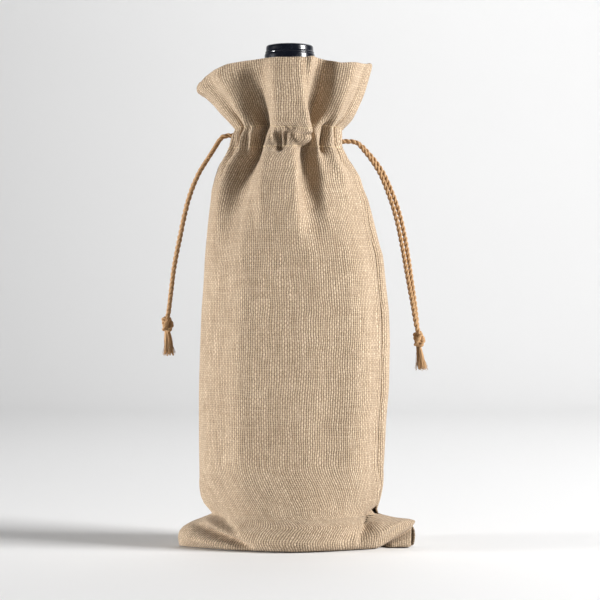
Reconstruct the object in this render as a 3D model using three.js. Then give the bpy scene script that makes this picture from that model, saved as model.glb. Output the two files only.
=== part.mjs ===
// A drawstring gift bag of coarse woven jute with a 750 ml wine bottle standing in it.
// Millimetres, +Z up. The origin is on the floor under the bottle's axis, and the front faces -Y.
//
// The cloth is a stack of flattened rings, from the seam under the base, out round the
// corners ("ears") that lie on the floor, up the body, in at the neck and out to the rim.
// Each cloth piece is a thin box bent onto some of those rings.
import * as THREE from 'three';

// ---- cloth ----
const CLOTH = 1.2; // thickness of one layer of jute
const GAP = 0.3; // clearance between pieces that touch
const SEAM_ALLOWANCE = 9; // width of the two turned-in edges beside a seam
const THREAD_RADIUS = 0.4; // sewing thread

// ---- bottle ----
const BOTTLE_RADIUS = 38;
const BOTTLE_HEIGHT = 300;
const BOTTLE_NECK_RADIUS = 14;
const BOTTLE_NECK_LENGTH = 56; // from the lip down to where the shoulder begins
const BOTTLE_SHOULDER_RISE = 56; // from the straight side up to the neck
const FINISH_PROUD = 0.3; // the ring under the lip stands this far out from the neck
const GLASS_WALL = 3;
const BORE_RADIUS = 9.4;
const PUNT_HEIGHT = 22;
const CORK_LENGTH = 44;
const CORK_SUNK = 1; // below the lip
const ULLAGE = 12; // air between cork and wine
const CAPSULE_WALL = 0.5;
const CAPSULE_SHORT = 2; // the foil stops this far above the shoulder

// ---- bag ----
const BODY_LEFT = 55; // half widths of the filled bag, from the bottle's axis
const BODY_RIGHT = 59;
const BODY_EASE = 1; // air between bottle and cloth, front and back
const CREASE_LEFT = BODY_LEFT - 7; // half widths at the creases above the floor corners
const CREASE_RIGHT = BODY_RIGHT - 6;
const SHOULDER_LEFT = BODY_LEFT - 4.8; // half widths where the cloth starts to gather
const SHOULDER_RIGHT = BODY_RIGHT - 5;
const SHOULDER_DROP = 2; // the gathering starts this far below the bottle's shoulder
const SEAM_TURN = 0.3; // radians that the side seams sit round from the sides
const BASE_SEAM_Y = 6; // the seam under the base lies a little behind the axis
const EAR_LEFT = 68; // reach of the corners that lie on the floor
const EAR_RIGHT = 76;
const EAR_HEIGHT = 17;
const CASING_DROP = 6; // the casing's lower stitching is this far below the foot of the bottle's neck
const CASING_HEIGHT = 12;
const NECK_LEFT = 34;
const NECK_RIGHT = 32.5;
const NECK_DEPTH = 28.7; // from the middle out to the gathered cloth, front and back
const FRILL_HEIGHT = 38;
const RIM_LEFT = 57;
const RIM_RIGHT = 50;
const RIM_DEPTH = 33;
const RIM_DROOP = 14; // how far the left corner of the frill hangs below the rest

// ---- drawstrings ----
const CORD = 2.8; // diameter of the jute twine
const CORD_EASE = 0.7; // air round the twine in its casing
const CORD_PITCH = 3.6; // height between the two drawstrings in the casing
const STRAND_SPACING = 4; // between the two ends of one drawstring where they leave
const SLOT_HALF = 4.6; // half width of the opening at each side of the casing
const LEAD_CLEAR = 5.5; // from the bottle's neck to the end of the straight stretch beside it
const KNOT_RADIUS = 4;
const KNOT_HALF_HEIGHT = 5.8;
const TAIL_TOP_RADIUS = 2.2;
const TAIL_END_RADIUS = 4.4;
const TAIL_LENGTH = 13;

// ---- mesh fineness ----
const CLOTH_STEPS = 18; // round half of the bag
const LATHE_STEPS = 28;
const CORD_SIDES = 8;
const THREAD_SIDES = 4;
const STEP = 7; // length of one step of a cord tube
const LOOP_POINTS = 24; // round a drawstring's loop
const STITCH_POINTS = 14; // along half a line of stitching
const STITCH_END = 0.06; // radians that the stitching stops short of the side seam

const FRONT = { name: 'front', from: Math.PI, to: 2 * Math.PI, side: -1 };
const BACK = { name: 'back', from: 0, to: Math.PI, side: 1 };
const HALVES = [FRONT, BACK];

const bodyDepth = BOTTLE_RADIUS + BODY_EASE + CLOTH + GAP / 2;
const footZ = 3 * CLOTH + 2 * GAP; // the bottle stands on the base cloth and its seam
const neckFoot = BOTTLE_HEIGHT - BOTTLE_NECK_LENGTH; // heights above the bottle's own foot
const bottleShoulder = neckFoot - BOTTLE_SHOULDER_RISE;
const shoulderZ = footZ + bottleShoulder - SHOULDER_DROP; // the cloth starts to gather here
const casingZ = footZ + neckFoot - CASING_DROP; // lower stitch line of the drawstring casing
const rimZ = casingZ + CASING_HEIGHT + FRILL_HEIGHT; // top edge of the frill
const leadInnerX = BOTTLE_NECK_RADIUS + LEAD_CLEAR;
const leadOuterX = BOTTLE_RADIUS + BODY_EASE; // the hanging stretch clears the bottle as it lifts
const channel = CLOTH + CORD + 2 * CORD_EASE; // outer face of the casing to the hem behind the cord
const capBore = BOTTLE_NECK_RADIUS + FINISH_PROUD + GAP;
const capOuter = capBore + CAPSULE_WALL;
const leftCordZ = casingZ + CASING_HEIGHT / 2 + CORD_PITCH / 2 + GAP;
const rightCordZ = leftCordZ - CORD_PITCH;

const jute = new THREE.MeshStandardMaterial({ color: 0xc6a67c, roughness: 0.95, metalness: 0 });
const thread = new THREE.MeshStandardMaterial({ color: 0xb59468, roughness: 0.9, metalness: 0 });
const twine = new THREE.MeshStandardMaterial({ color: 0xa9743f, roughness: 0.9, metalness: 0 });
const glass = new THREE.MeshStandardMaterial({ color: 0x1d2b17, roughness: 0.05, metalness: 0 });
const wineRed = new THREE.MeshStandardMaterial({ color: 0x3a0610, roughness: 0.1, metalness: 0 });
const corkBrown = new THREE.MeshStandardMaterial({ color: 0xb98a5b, roughness: 0.9, metalness: 0 });
const blackFoil = new THREE.MeshStandardMaterial({ color: 0x0a0b10, roughness: 0.2, metalness: 0 });

const bag = new THREE.Group();

function addPiece(name, geometry, material, parent = bag) {
  const mesh = new THREE.Mesh(geometry, material);
  mesh.name = name;
  parent.add(mesh);
  return mesh;
}

const blend = (a, b, t) => a + (b - a) * t;

// One ring of the cloth's outer face: half widths to the left and right, half depth, height.
// flat marks rings that lie on the floor, and droop lowers the ring's left end.
function ring(z, left, right, depth, more = {}) {
  return { z, left, right, depth, centreY: 0, turn: SEAM_TURN, droop: 0, flat: false, ...more };
}

const onFloor = (inset, share) => ring(0, EAR_LEFT - inset, EAR_RIGHT - inset, bodyDepth * share, {
  flat: true, turn: 0, centreY: BASE_SEAM_Y * (1 - share),
});
const ear = (height, reach, depthInset) => ring(
  EAR_HEIGHT * height,
  blend(CREASE_LEFT, EAR_LEFT, reach), blend(CREASE_RIGHT, EAR_RIGHT, reach),
  bodyDepth - depthInset, { turn: 0 },
);
const baseRings = [
  onFloor(10, 0), onFloor(8, 0.45), onFloor(6, 0.86),
  ear(0.1, 0.88, 2.6), ear(0.36, 1, 1), ear(0.65, 0.9, 0.4), ear(0.86, 0.6, 0.1), ear(1.02, 0.2, 0),
];
const bodyRings = [
  ring(EAR_HEIGHT + 4, CREASE_LEFT, CREASE_RIGHT, bodyDepth, { turn: 0 }),
  ring(EAR_HEIGHT + 9, BODY_LEFT - 3, BODY_RIGHT - 4.5, bodyDepth, { turn: SEAM_TURN * 0.15 }),
  ring(EAR_HEIGHT + 17, BODY_LEFT - 0.5, BODY_RIGHT - 3, bodyDepth, { turn: SEAM_TURN * 0.6 }),
  ring(EAR_HEIGHT + 45, BODY_LEFT, BODY_RIGHT - 1, bodyDepth),
  ring(shoulderZ * 0.5, BODY_LEFT, BODY_RIGHT + 1.5, bodyDepth),
  ring(shoulderZ * 0.68, BODY_LEFT - 0.6, BODY_RIGHT + 2, bodyDepth),
  ring(shoulderZ * 0.85, BODY_LEFT - 2.4, BODY_RIGHT - 0.5, bodyDepth),
  ring(shoulderZ, SHOULDER_LEFT, SHOULDER_RIGHT, bodyDepth),
];
const gather = (share, narrowing, turnLeft) => ring(
  blend(shoulderZ, casingZ, share),
  blend(SHOULDER_LEFT, NECK_LEFT, narrowing), blend(SHOULDER_RIGHT, NECK_RIGHT, narrowing),
  blend(bodyDepth, NECK_DEPTH, narrowing * share), { turn: SEAM_TURN * turnLeft },
);
const shoulderRings = [
  gather(0.28, 0.12, 0.9), gather(0.54, 0.34, 0.6), gather(0.75, 0.58, 0.3), gather(0.9, 0.84, 0.1),
  gather(1, 1, 0),
];
const neck = (z) => ring(z, NECK_LEFT, NECK_RIGHT, NECK_DEPTH, { turn: 0 });
const casingRings = [neck(casingZ + CASING_HEIGHT / 2), neck(casingZ + CASING_HEIGHT)];
const frill = (share, flareLeft, flareRight, droop) => ring(
  blend(casingZ + CASING_HEIGHT, rimZ, share),
  blend(NECK_LEFT, RIM_LEFT, flareLeft), blend(NECK_RIGHT, RIM_RIGHT, flareRight),
  blend(NECK_DEPTH, RIM_DEPTH, flareRight), { turn: 0, droop: RIM_DROOP * droop },
);
const frillRings = [
  frill(0.21, 0.38, 0.4, 0.1), frill(0.42, 0.64, 0.6, 0.28), frill(0.68, 0.87, 0.8, 0.6), frill(1, 1, 1, 1),
];

const rings = [...baseRings, ...bodyRings, ...shoulderRings, ...casingRings, ...frillRings];
const panelTop = baseRings.length + bodyRings.length - 1;
const shoulderTop = panelTop + shoulderRings.length;
const casingTop = shoulderTop + casingRings.length;
const rim = rings.length - 1;

function ringPoint(r, angle) {
  const c = Math.cos(angle);
  const reach = c < 0 ? r.left : r.right;
  const droop = r.droop * Math.max(0, -c) ** 4;
  return new THREE.Vector3(reach * c, r.centreY + r.depth * Math.sin(angle), r.z - droop);
}

// The cloth's outward direction at a ring. The floor rings face straight down.
function outward(index, angle) {
  if (rings[index].flat) return new THREE.Vector3(0, 0, -1);
  const small = 0.01;
  const along = ringPoint(rings[index], angle + small).sub(ringPoint(rings[index], angle - small));
  const above = rings[Math.min(index + 1, rim)];
  const below = rings[Math.max(index - 1, 0)];
  const up = ringPoint(above, angle).sub(ringPoint(below, angle));
  return along.cross(up).normalize();
}

// A layer of cloth between two rings, on one half of the bag: a box bent onto the rings.
// inset and thickness are measured inwards from the outer face, and may change with the ring.
function layer(half, first, last, { trim = 0, inset = () => 0, thickness = CLOTH, steps = CLOTH_STEPS }) {
  const rows = last - first;
  const geometry = new THREE.BoxGeometry(1, 1, 1, steps, rows, 1);
  const corner = geometry.attributes.position;
  for (let i = 0; i < corner.count; i += 1) {
    const row = Math.round((corner.getY(i) + 0.5) * rows);
    const index = first + row;
    const r = rings[index];
    const angle = blend(half.from + trim, half.to - trim, corner.getX(i) + 0.5) - r.turn;
    const depth = inset(index) + (corner.getZ(i) > 0 ? 0 : thickness);
    const point = ringPoint(r, angle).addScaledVector(outward(index, angle), -depth);
    point.y += (half.side * GAP) / 2;
    if (row === 0 && first > 0) point.z += GAP / 2;
    if (row === rows && last < rim) point.z -= GAP / 2;
    corner.setXYZ(i, point.x, point.y, point.z);
  }
  return geometry;
}

// A round tube along a smooth line through the points.
function tube(points, radius, sides, step) {
  const curve = new THREE.CatmullRomCurve3(points);
  const corners = Array.from({ length: sides }, (_, i) => {
    const angle = (2 * Math.PI * i) / sides;
    return new THREE.Vector2(radius * Math.cos(angle), radius * Math.sin(angle));
  });
  return new THREE.ExtrudeGeometry(new THREE.Shape(corners), {
    steps: Math.max(2, Math.round(curve.getLength() / step)),
    bevelEnabled: false,
    extrudePath: curve,
  });
}

// ---- cloth pieces ----
// The hem hangs behind the drawstrings' channel, then closes up to the frill over two rings.
const hemInset = (index) => {
  const closing = Math.min(1, Math.max(0, index - casingTop) / 2);
  return blend(channel, CLOTH + GAP, closing);
};
const slotTrim = Math.asin(SLOT_HALF / NECK_DEPTH);
for (const half of HALVES) {
  addPiece(`${half.name}_panel`, layer(half, 0, panelTop, {}), jute);
  addPiece(`${half.name}_shoulder`, layer(half, panelTop, shoulderTop, {}), jute);
  addPiece(`${half.name}_casing`, layer(half, shoulderTop, casingTop, { trim: slotTrim }), jute);
  addPiece(`${half.name}_frill`, layer(half, casingTop, rim, {}), jute);
  addPiece(
    `${half.name}_hem`,
    layer(half, shoulderTop, rim, { trim: slotTrim * 1.3, inset: hemInset, thickness: CLOTH }),
    jute,
  );
}

// Each side seam: the two edges turned in, as one strip inside the bag from the ears to the casing.
function sideSeam(centre) {
  const reach = SEAM_ALLOWANCE / 2 / bodyDepth;
  const strip = { name: 'seam', from: centre - reach, to: centre + reach, side: 0 };
  return layer(strip, baseRings.length + 2, shoulderTop, {
    inset: () => CLOTH + 2 * GAP, thickness: CLOTH, steps: 3,
  });
}
addPiece('left_side_seam', sideSeam(Math.PI), jute);
addPiece('right_side_seam', sideSeam(2 * Math.PI), jute);

// The base seam's turned-in edges lie on the base cloth, under the bottle.
const baseSeamLength = EAR_LEFT + EAR_RIGHT - 4 * SEAM_ALLOWANCE;
const baseSeam = new THREE.BoxGeometry(baseSeamLength, SEAM_ALLOWANCE, 2 * CLOTH);
const baseSeamMesh = addPiece('bottom_seam', baseSeam, jute);
baseSeamMesh.position.set((EAR_RIGHT - EAR_LEFT) / 2, BASE_SEAM_Y, 2 * CLOTH + GAP);

// Sewing thread along both edges of the casing, lying just proud of the cloth.
function stitchLine(half, index) {
  const points = Array.from({ length: STITCH_POINTS + 1 }, (_, i) => {
    const angle = blend(half.from + STITCH_END, half.to - STITCH_END, i / STITCH_POINTS);
    const point = ringPoint(rings[index], angle);
    point.y += (half.side * GAP) / 2;
    return point.addScaledVector(outward(index, angle), THREAD_RADIUS + 2 * GAP);
  });
  return tube(points, THREAD_RADIUS, THREAD_SIDES, STEP);
}
for (const half of HALVES) {
  addPiece(`${half.name}_stitch_lower`, stitchLine(half, shoulderTop), thread);
  addPiece(`${half.name}_stitch_upper`, stitchLine(half, casingTop), thread);
}

// ---- drawstrings ----
// A drawstring lies round the neck inside the casing and leaves it twice at one side, where its
// two ends hang down to one knot. side is -1 for the left drawstring and 1 for the right one.
// The hanging route is a list of [reach past the lead's end, drop below it], chosen by hand.
const LEFT_ROUTE = [
  [0.5, 0], [2, 0.4], [4.2, 3.2], [6.4, 7.2], [10.8, 14], [16, 22.1], [20.2, 31.4],
  [23.2, 40.5], [25.8, 51.3], [28, 62.3], [30.2, 72.8], [31.9, 82.3], [33, 91.7], [34, 100.3],
  [34.9, 108.1],
];
const RIGHT_ROUTE = [
  [0.5, 0], [2, 0.3], [4.2, 2.3], [7.2, 5.6], [11.9, 11.3], [17.2, 19.1], [21.6, 29.3],
  [25.2, 39.1], [27.9, 48.7], [30, 58.7], [31.8, 69.1], [33.4, 79.3], [35, 89.1], [36.6, 98.7],
  [37.8, 107.3], [38.7, 113.9],
];
const LEFT = {
  name: 'left', side: -1, z: leftCordZ, route: LEFT_ROUTE, splay: 0.3,
  knot: [35.7, 114.9], tailLean: 1.2,
};
const RIGHT = {
  name: 'right', side: 1, z: rightCordZ, route: RIGHT_ROUTE, splay: 1.5,
  knot: [39.8, 120.5], tailLean: -1.6,
};

// The loop runs round the middle of the casing's channel, from one edge of its own slot to the other.
function cordLoop(cord) {
  const inset = CLOTH + CORD_EASE + CORD / 2;
  const slot = cord.side < 0 ? Math.PI : 0;
  const start = slot + Math.asin((STRAND_SPACING / 2 + CORD + GAP) / (NECK_DEPTH - inset));
  const sweep = 2 * Math.PI - 2 * (start - slot);
  const points = Array.from({ length: LOOP_POINTS + 1 }, (_, i) => {
    const angle = start + (sweep * i) / LOOP_POINTS;
    const c = Math.cos(angle);
    const reach = (c < 0 ? NECK_LEFT : NECK_RIGHT) - inset;
    return new THREE.Vector3(reach * c, (NECK_DEPTH - inset) * Math.sin(angle), cord.z);
  });
  return tube(points, CORD / 2, CORD_SIDES, STEP);
}

// How far a strand stands off the pair's middle line: STRAND_SPACING / 2 where it leaves the casing,
// and touching its neighbour at the knot. The right pair also stays splayed sideways in between.
function strandPoint(cord, end, [reach, drop], share) {
  const spread = blend(STRAND_SPACING, CORD + GAP * 2, Math.min(1, 2 * share)) / 2;
  const sideways = cord.splay * Math.sin(Math.PI * share) * end;
  return new THREE.Vector3(cord.side * (leadOuterX + reach + sideways), end * spread, cord.z - drop);
}

for (const cord of [LEFT, RIGHT]) {
  addPiece(`${cord.name}_cord_loop`, cordLoop(cord), twine);
  for (const [place, end] of [['front', -1], ['back', 1]]) {
    const lead = [leadInnerX, (leadInnerX + leadOuterX) / 2, leadOuterX].map(
      (x) => new THREE.Vector3(cord.side * x, (end * STRAND_SPACING) / 2, cord.z),
    );
    addPiece(`${cord.name}_cord_lead_${place}`, tube(lead, CORD / 2, CORD_SIDES, STEP), twine);
    const last = cord.route.length - 1;
    const points = cord.route.map((at, i) => strandPoint(cord, end, at, i / last));
    addPiece(`${cord.name}_cord_strand_${place}`, tube(points, CORD / 2, CORD_SIDES, STEP), twine);
  }

  const [knotReach, knotDrop] = cord.knot;
  const knotX = leadOuterX + knotReach;
  const knotZ = cord.z - knotDrop;
  const knot = new THREE.SphereGeometry(KNOT_RADIUS, 12, 8);
  knot.rotateX(Math.PI / 2).scale(1, 1, KNOT_HALF_HEIGHT / KNOT_RADIUS);
  addPiece(`${cord.name}_cord_knot`, knot, twine).position.set(cord.side * knotX, 0, knotZ);

  const tail = new THREE.CylinderGeometry(TAIL_TOP_RADIUS, TAIL_END_RADIUS, TAIL_LENGTH, 12);
  tail.rotateX(Math.PI / 2);
  const tailZ = knotZ - KNOT_HALF_HEIGHT - GAP - TAIL_LENGTH / 2;
  addPiece(`${cord.name}_cord_tail`, tail, twine).position.set(
    cord.side * (knotX - cord.tailLean / 2), 0, tailZ,
  );
}

// ---- bottle ----
const bottle = new THREE.Group();
bottle.position.z = footZ;
bag.add(bottle);

// A solid of revolution from [radius, height] points that start and end on the axis, or close.
const turned = (profile, steps = LATHE_STEPS) => new THREE.LatheGeometry(
  profile.map(([r, z]) => new THREE.Vector2(r, z)), steps,
).rotateX(Math.PI / 2);

const shoulderSteps = [0.06, 0.22, 0.45, 0.7, 1];
// The shoulder's outline: a quarter wave from the body's radius in to the neck's.
const shoulderRadius = (t, body, neckRadius) => (
  blend(neckRadius, body, (1 + Math.cos(Math.PI * t ** 0.8)) / 2)
);
const outside = [
  [0, PUNT_HEIGHT], [14, PUNT_HEIGHT * 0.6], [26, PUNT_HEIGHT * 0.1], [31, 0], [34, 0],
  [BOTTLE_RADIUS - 1, 3], [BOTTLE_RADIUS, 8], [BOTTLE_RADIUS, bottleShoulder],
  ...shoulderSteps.map((t) => [
    shoulderRadius(t, BOTTLE_RADIUS, BOTTLE_NECK_RADIUS), bottleShoulder + BOTTLE_SHOULDER_RISE * t,
  ]),
  [BOTTLE_NECK_RADIUS - 0.4, BOTTLE_HEIGHT - 14], [BOTTLE_NECK_RADIUS + FINISH_PROUD, BOTTLE_HEIGHT - 12.5],
  [BOTTLE_NECK_RADIUS + FINISH_PROUD, BOTTLE_HEIGHT - 7], [BOTTLE_NECK_RADIUS - 0.6, BOTTLE_HEIGHT - 6],
  [BOTTLE_NECK_RADIUS - 0.6, BOTTLE_HEIGHT - 1.5], [BOTTLE_NECK_RADIUS - 2, BOTTLE_HEIGHT],
];
const innerRadius = BOTTLE_RADIUS - GLASS_WALL;
const cavity = [
  ...shoulderSteps.map((t) => [
    shoulderRadius(t, innerRadius, BORE_RADIUS), bottleShoulder + BOTTLE_SHOULDER_RISE * t - 1,
  ]).reverse(),
  [innerRadius, bottleShoulder - 1], [innerRadius, 12], [innerRadius - 5, 7], [26, 8],
  [14, PUNT_HEIGHT * 0.6 + GLASS_WALL + 2], [0, PUNT_HEIGHT + GLASS_WALL + 1],
];
addPiece('bottle_glass', turned([...outside, [BORE_RADIUS, BOTTLE_HEIGHT], ...cavity]), glass, bottle);

const shrink = ([r, z], i) => [Math.max(0, r - GAP), i < cavity.length - 4 ? z - GAP : z + GAP];
const corkFoot = BOTTLE_HEIGHT - CORK_SUNK - CORK_LENGTH;
const wineLevel = corkFoot - ULLAGE;
const wineSide = cavity.map(shrink).filter(([, z]) => z < wineLevel);
const wineNeck = shoulderRadius(1, innerRadius, BORE_RADIUS) - GAP;
addPiece('wine', turned([[0, wineLevel], [wineNeck, wineLevel], ...wineSide].reverse()), wineRed, bottle);

const cork = new THREE.CylinderGeometry(BORE_RADIUS - GAP, BORE_RADIUS - GAP, CORK_LENGTH, LATHE_STEPS);
addPiece('cork', cork.rotateX(Math.PI / 2), corkBrown, bottle).position.z = corkFoot + CORK_LENGTH / 2;

// The foil capsule covers the bottle's neck: a cap over the lip, a bead under it, then a straight skirt.
const capTop = BOTTLE_HEIGHT + GAP;
const capFoot = neckFoot + CAPSULE_SHORT;
addPiece('capsule', turned([
  [0, capTop], [capBore - 0.5, capTop], [capBore - 0.4, capTop - 5], [capBore, capTop - 6],
  [capBore, capFoot], [capOuter + 0.2, capFoot], [capOuter, BOTTLE_HEIGHT - 8],
  [capOuter - 0.5, BOTTLE_HEIGHT - 7.2], [capOuter - 0.1, BOTTLE_HEIGHT - 6.4],
  [capOuter - 0.4, BOTTLE_HEIGHT - 5.6], [capOuter - 0.4, capTop - 1],
  [capOuter - 1.2, capTop + CAPSULE_WALL], [0, capTop + CAPSULE_WALL + 0.4],
]), blackFoil, bottle);

export default bag;
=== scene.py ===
"""A drawstring gift bag of coarse jute with a wine bottle in it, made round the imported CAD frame."""

import math

import bpy
import numpy as np
from bpy.props import FloatProperty, FloatVectorProperty, IntProperty, PointerProperty
from bpy.types import Operator, Panel, PropertyGroup
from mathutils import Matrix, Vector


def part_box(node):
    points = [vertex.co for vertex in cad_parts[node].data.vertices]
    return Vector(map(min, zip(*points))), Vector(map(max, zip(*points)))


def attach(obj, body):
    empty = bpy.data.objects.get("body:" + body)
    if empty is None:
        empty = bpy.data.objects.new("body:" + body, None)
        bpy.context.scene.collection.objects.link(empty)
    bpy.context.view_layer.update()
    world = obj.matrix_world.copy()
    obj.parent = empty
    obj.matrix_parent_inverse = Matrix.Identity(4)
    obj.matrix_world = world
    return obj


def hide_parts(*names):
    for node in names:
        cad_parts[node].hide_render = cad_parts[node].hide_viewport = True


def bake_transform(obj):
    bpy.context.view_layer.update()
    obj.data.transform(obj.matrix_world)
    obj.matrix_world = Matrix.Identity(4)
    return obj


bl_info = {
    "name": "Jute Wine Gift Bag",
    "version": (1, 0, 0),
    "blender": (4, 5, 0),
    "location": "3D View > Sidebar > Gift Bag",
    "description": "Makes a jute drawstring gift bag with a wine bottle in it",
    "category": "Object",
}

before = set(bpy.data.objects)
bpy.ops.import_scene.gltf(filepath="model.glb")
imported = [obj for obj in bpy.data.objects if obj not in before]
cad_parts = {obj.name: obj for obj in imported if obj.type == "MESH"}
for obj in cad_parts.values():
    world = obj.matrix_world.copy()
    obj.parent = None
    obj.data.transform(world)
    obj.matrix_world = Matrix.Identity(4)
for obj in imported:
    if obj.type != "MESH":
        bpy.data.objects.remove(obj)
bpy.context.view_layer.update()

MM = 0.001
UV_SPAN = 400.0  # mm of cloth or cord to one unit of the texture place
SEED = 7
FRONT, BACK = "front", "back"
LEFT, RIGHT = "left", "right"
SIDE_SIGN = {LEFT: -1.0, RIGHT: 1.0}


def node_heights(node):
    """Lowest and highest Z of a CAD node, in millimetres."""
    low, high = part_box(node)
    return low[2] / MM, high[2] / MM


CASING_LOW, CASING_HIGH = node_heights("front_casing")
RIM = node_heights("front_frill")[1]
BOTTLE_FOOT = node_heights("bottle_glass")[0]
CAPSULE_TOP = node_heights("capsule")[1]

# ---- the bag's outline, in millimetres ----
# Each table is (distance along the cloth's middle line, value). The distance is the height above
# the floor, and below 0 it runs under the base to the seam there. The two frill tables run from
# 0 at the casing's top to 1 at the rim instead.
HEIGHT = [(-46, 0.3), (-6, 0.3), (-3, 0.7), (0, 1.8), (3, 4), (7, 7.5), (12, 12.1), (20, 20), (RIM, RIM)]
REACH_LEFT = [
    (-46, 65), (-30, 65.6), (-8, 67), (0, 67.6), (5, 68.2), (9, 67.2), (12, 65), (15, 60), (17, 54.5),
    (18.6, 49.6), (19.8, 47), (21.4, 47.6), (23, 49.6), (26, 51.6), (30, 53.5), (38, 55.1), (56, 55.3),
    (96, 55.3), (125, 54.8), (144, 54.1), (158, 52.9), (177, 51.7), (195, 49.8), (210, 48),
    (217, 47.4), (224, 45.6), (228, 43.9), (231.7, 42.6), (235, 40.2), (239, 37.8), (243, 36), (250, 35),
    (253.7, 33),
]
REACH_RIGHT = [
    (-46, 73), (-30, 73.6), (-8, 75), (0, 76), (5, 76.6), (9, 76.4), (12, 75.4), (15, 72), (17, 66),
    (18.6, 58.6), (19.8, 53.4), (21.4, 53), (23, 53.9), (30, 55), (38, 56.3), (56, 57.5), (78, 58.7),
    (96, 60.4), (125, 61.2), (144, 60.6), (158, 58.9), (177, 56.9), (184, 54.6), (195, 52),
    (202.5, 50.2), (210, 48.2), (217, 45), (224, 42.7), (228, 40.4), (231.7, 37.9), (235, 36),
    (239, 33.9), (243, 31.8), (250, 31.4), (253.7, 31.4),
]
FRILL_LEFT = [
    (0, 33), (0.12, 37), (0.29, 42.5), (0.45, 46.4), (0.6, 50.2), (0.77, 54.2), (0.92, 56.4), (1, 56.6),
]
FRILL_RIGHT = [
    (0, 31.6), (0.08, 35), (0.18, 38.6), (0.3, 40.9), (0.47, 43.8), (0.6, 45.8), (0.8, 48), (1, 50.2),
]
DEPTH = [
    (-46, 39), (0, 39.6), (6, 40.2), (190, 40.2), (204, 39.2), (217, 36.6), (230, 32.6), (240, 29.2),
    (246, 28.2), (254, 28.4), (262, 30), (276, 32), (RIM, 33),
]
FLATTENED = [(-46, 0.0), (-6, 0.84), (-2, 0.93), (1, 0.98), (4, 1.0), (RIM, 1.0)]
POINTEDNESS = [(-46, 7), (16, 7), (24, 4.5), (40, 3.3), (190, 3.1), (235, 2.6), (258, 2.6), (RIM, 3.0)]
SEAM_SHIFT = [(-46, 0), (22, 0), (30, 3), (50, 13), (200, 13), (222, 9), (240, 0), (RIM, 0)]
BASE_SEAM_Y = 6.0
# The rim's height against the sideways place: the left corner hangs, and the right one points up.
RIM_LINE = [
    (-57, 277), (-54.5, 280.6), (-51, 284), (-46, 287), (-37.6, 290.2), (-26, 292.2), (-15, 293.4),
    (0, 293), (9, 293.4), (16, 294.4), (23, 292.6), (31, 291), (42, 291.8), (50, 292.4),
]

# ---- folds ----
# Each fold is (squareness, lean, [(height, place, half width, outward depth in mm), ...]). The place and
# the half width are in degrees round the bag: 0 right, 90 front, 180 left, 270 back. The lean is the
# sideways shift for each mm of depth, towards the right on the front.
CENTRE_PLEAT = (7, 0.3, [
    (250.4, 91, 16.4, 0), (252.6, 91, 17, 6.6), (256, 91.4, 17, 8.2), (260, 91.2, 16.2, 8),
    (268, 91, 14, 6.2), (280, 92, 12.6, 4.2), (293, 92, 12, 3),
])
PLEAT_KNOB = (
    3, 0.5,
    [
        (243, 78, 6, 0), (244.6, 78.4, 6.4, 6), (248, 78.6, 7, 8.6), (252, 79, 7, 7), (258, 80, 7, 2.6),
        (265, 80, 8, 0),
    ],
)
RIGHT_VALLEY = (3, 0.0, [
    (184, 76, 9, 0), (196, 75.6, 8.6, -2.2), (206, 75.4, 8.2, -4.8), (217, 74.6, 8.2, -8),
    (229, 73, 8, -10.4),
    (238, 71.4, 7, -10), (246, 69.6, 5.2, -7.4), (253, 67, 5.8, -7.4), (260, 66.2, 8, -10),
    (268, 65.8, 8.6, -11.4),
    (278, 65.4, 8.2, -10.4), (286, 65, 7.6, -9), (293, 64.8, 7.2, -7.6),
])
RIGHT_FINGER = (
    2, 0.0,
    [(236, 61, 3, 0), (242, 62, 3.2, 3.4), (250, 63.4, 3.2, 5), (256, 64.4, 3, 2.6), (261, 65, 3, 0)],
)
RIGHT_SLIT = (
    2, 0.0,
    [
        (235, 54, 2.4, 0), (240, 53.2, 2.4, -4), (247, 50.8, 2.2, -6.4), (253, 48.6, 2.2, -5.6),
        (260, 47, 3, 0),
    ],
)
RIGHT_RIDGE = (2, 0.0, [
    (206, 44, 8, 0), (222, 43.4, 7.4, 2), (236, 43, 6, 3.6), (246, 42, 5, 4.4), (254, 43, 5, 4.4),
    (262, 45, 6.4, 3.6),
    (275, 45, 8, 3.4), (293, 42, 9, 3.4),
])
RIGHT_CREASE = (
    2, 0.0,
    [
        (226, 28, 3.4, 0), (240, 27, 3.4, -3), (250, 26, 3.4, -4.2), (258, 25.6, 4, -3),
        (272, 25, 5.4, -1.6), (293, 24, 6, -0.6),
    ],
)
SHOULDER_PLEAT = (7, 0.28, [
    (172, 95, 18, 0), (188, 95.6, 17.6, 1.2), (204, 97, 17, 3.2), (217, 98.6, 16.6, 5.2),
    (228, 99.4, 16.2, 7), (238, 99.8, 16, 8),
    (244, 99.4, 15.6, 7.4), (250, 98.6, 14.4, 4), (255, 98, 14, 0),
])
POCKET = (3, 0.0, [
    (237.4, 101.6, 2.4, 0), (238.8, 101.6, 3.8, -4.2), (240.4, 101.6, 5.6, -6), (244, 101.8, 7.4, -6.6),
    (248, 102, 8.4, -6),
    (253, 102, 9, -2.4), (256, 102, 9, 0),
])
POCKET_PLEATS = [
    (
        2, 0.0,
        [
            (239.4, at, 1.4, 0), (242, at + fan, 1.6, 2.6), (248, at + 2 * fan, 1.9, 4),
            (252.4, at + 2 * fan, 2, 3.4), (256, at, 1.8, 0),
        ],
    )
    for at, fan in ((99, -0.7), (101.8, 0), (104.6, 0.7))
]
LEFT_VALLEY = (2.6, 0.0, [
    (168, 143, 13, 0), (186, 140, 13, -2.4), (203, 135.6, 12, -5.2), (218, 130.6, 10.4, -7.6),
    (232, 126.4, 8.6, -9),
    (243, 122.8, 6.8, -8.4), (252, 119.8, 6.2, -8.2), (262, 117.4, 8, -9), (275, 115.4, 9.6, -7.2),
    (293, 112, 11, -4),
])
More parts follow.
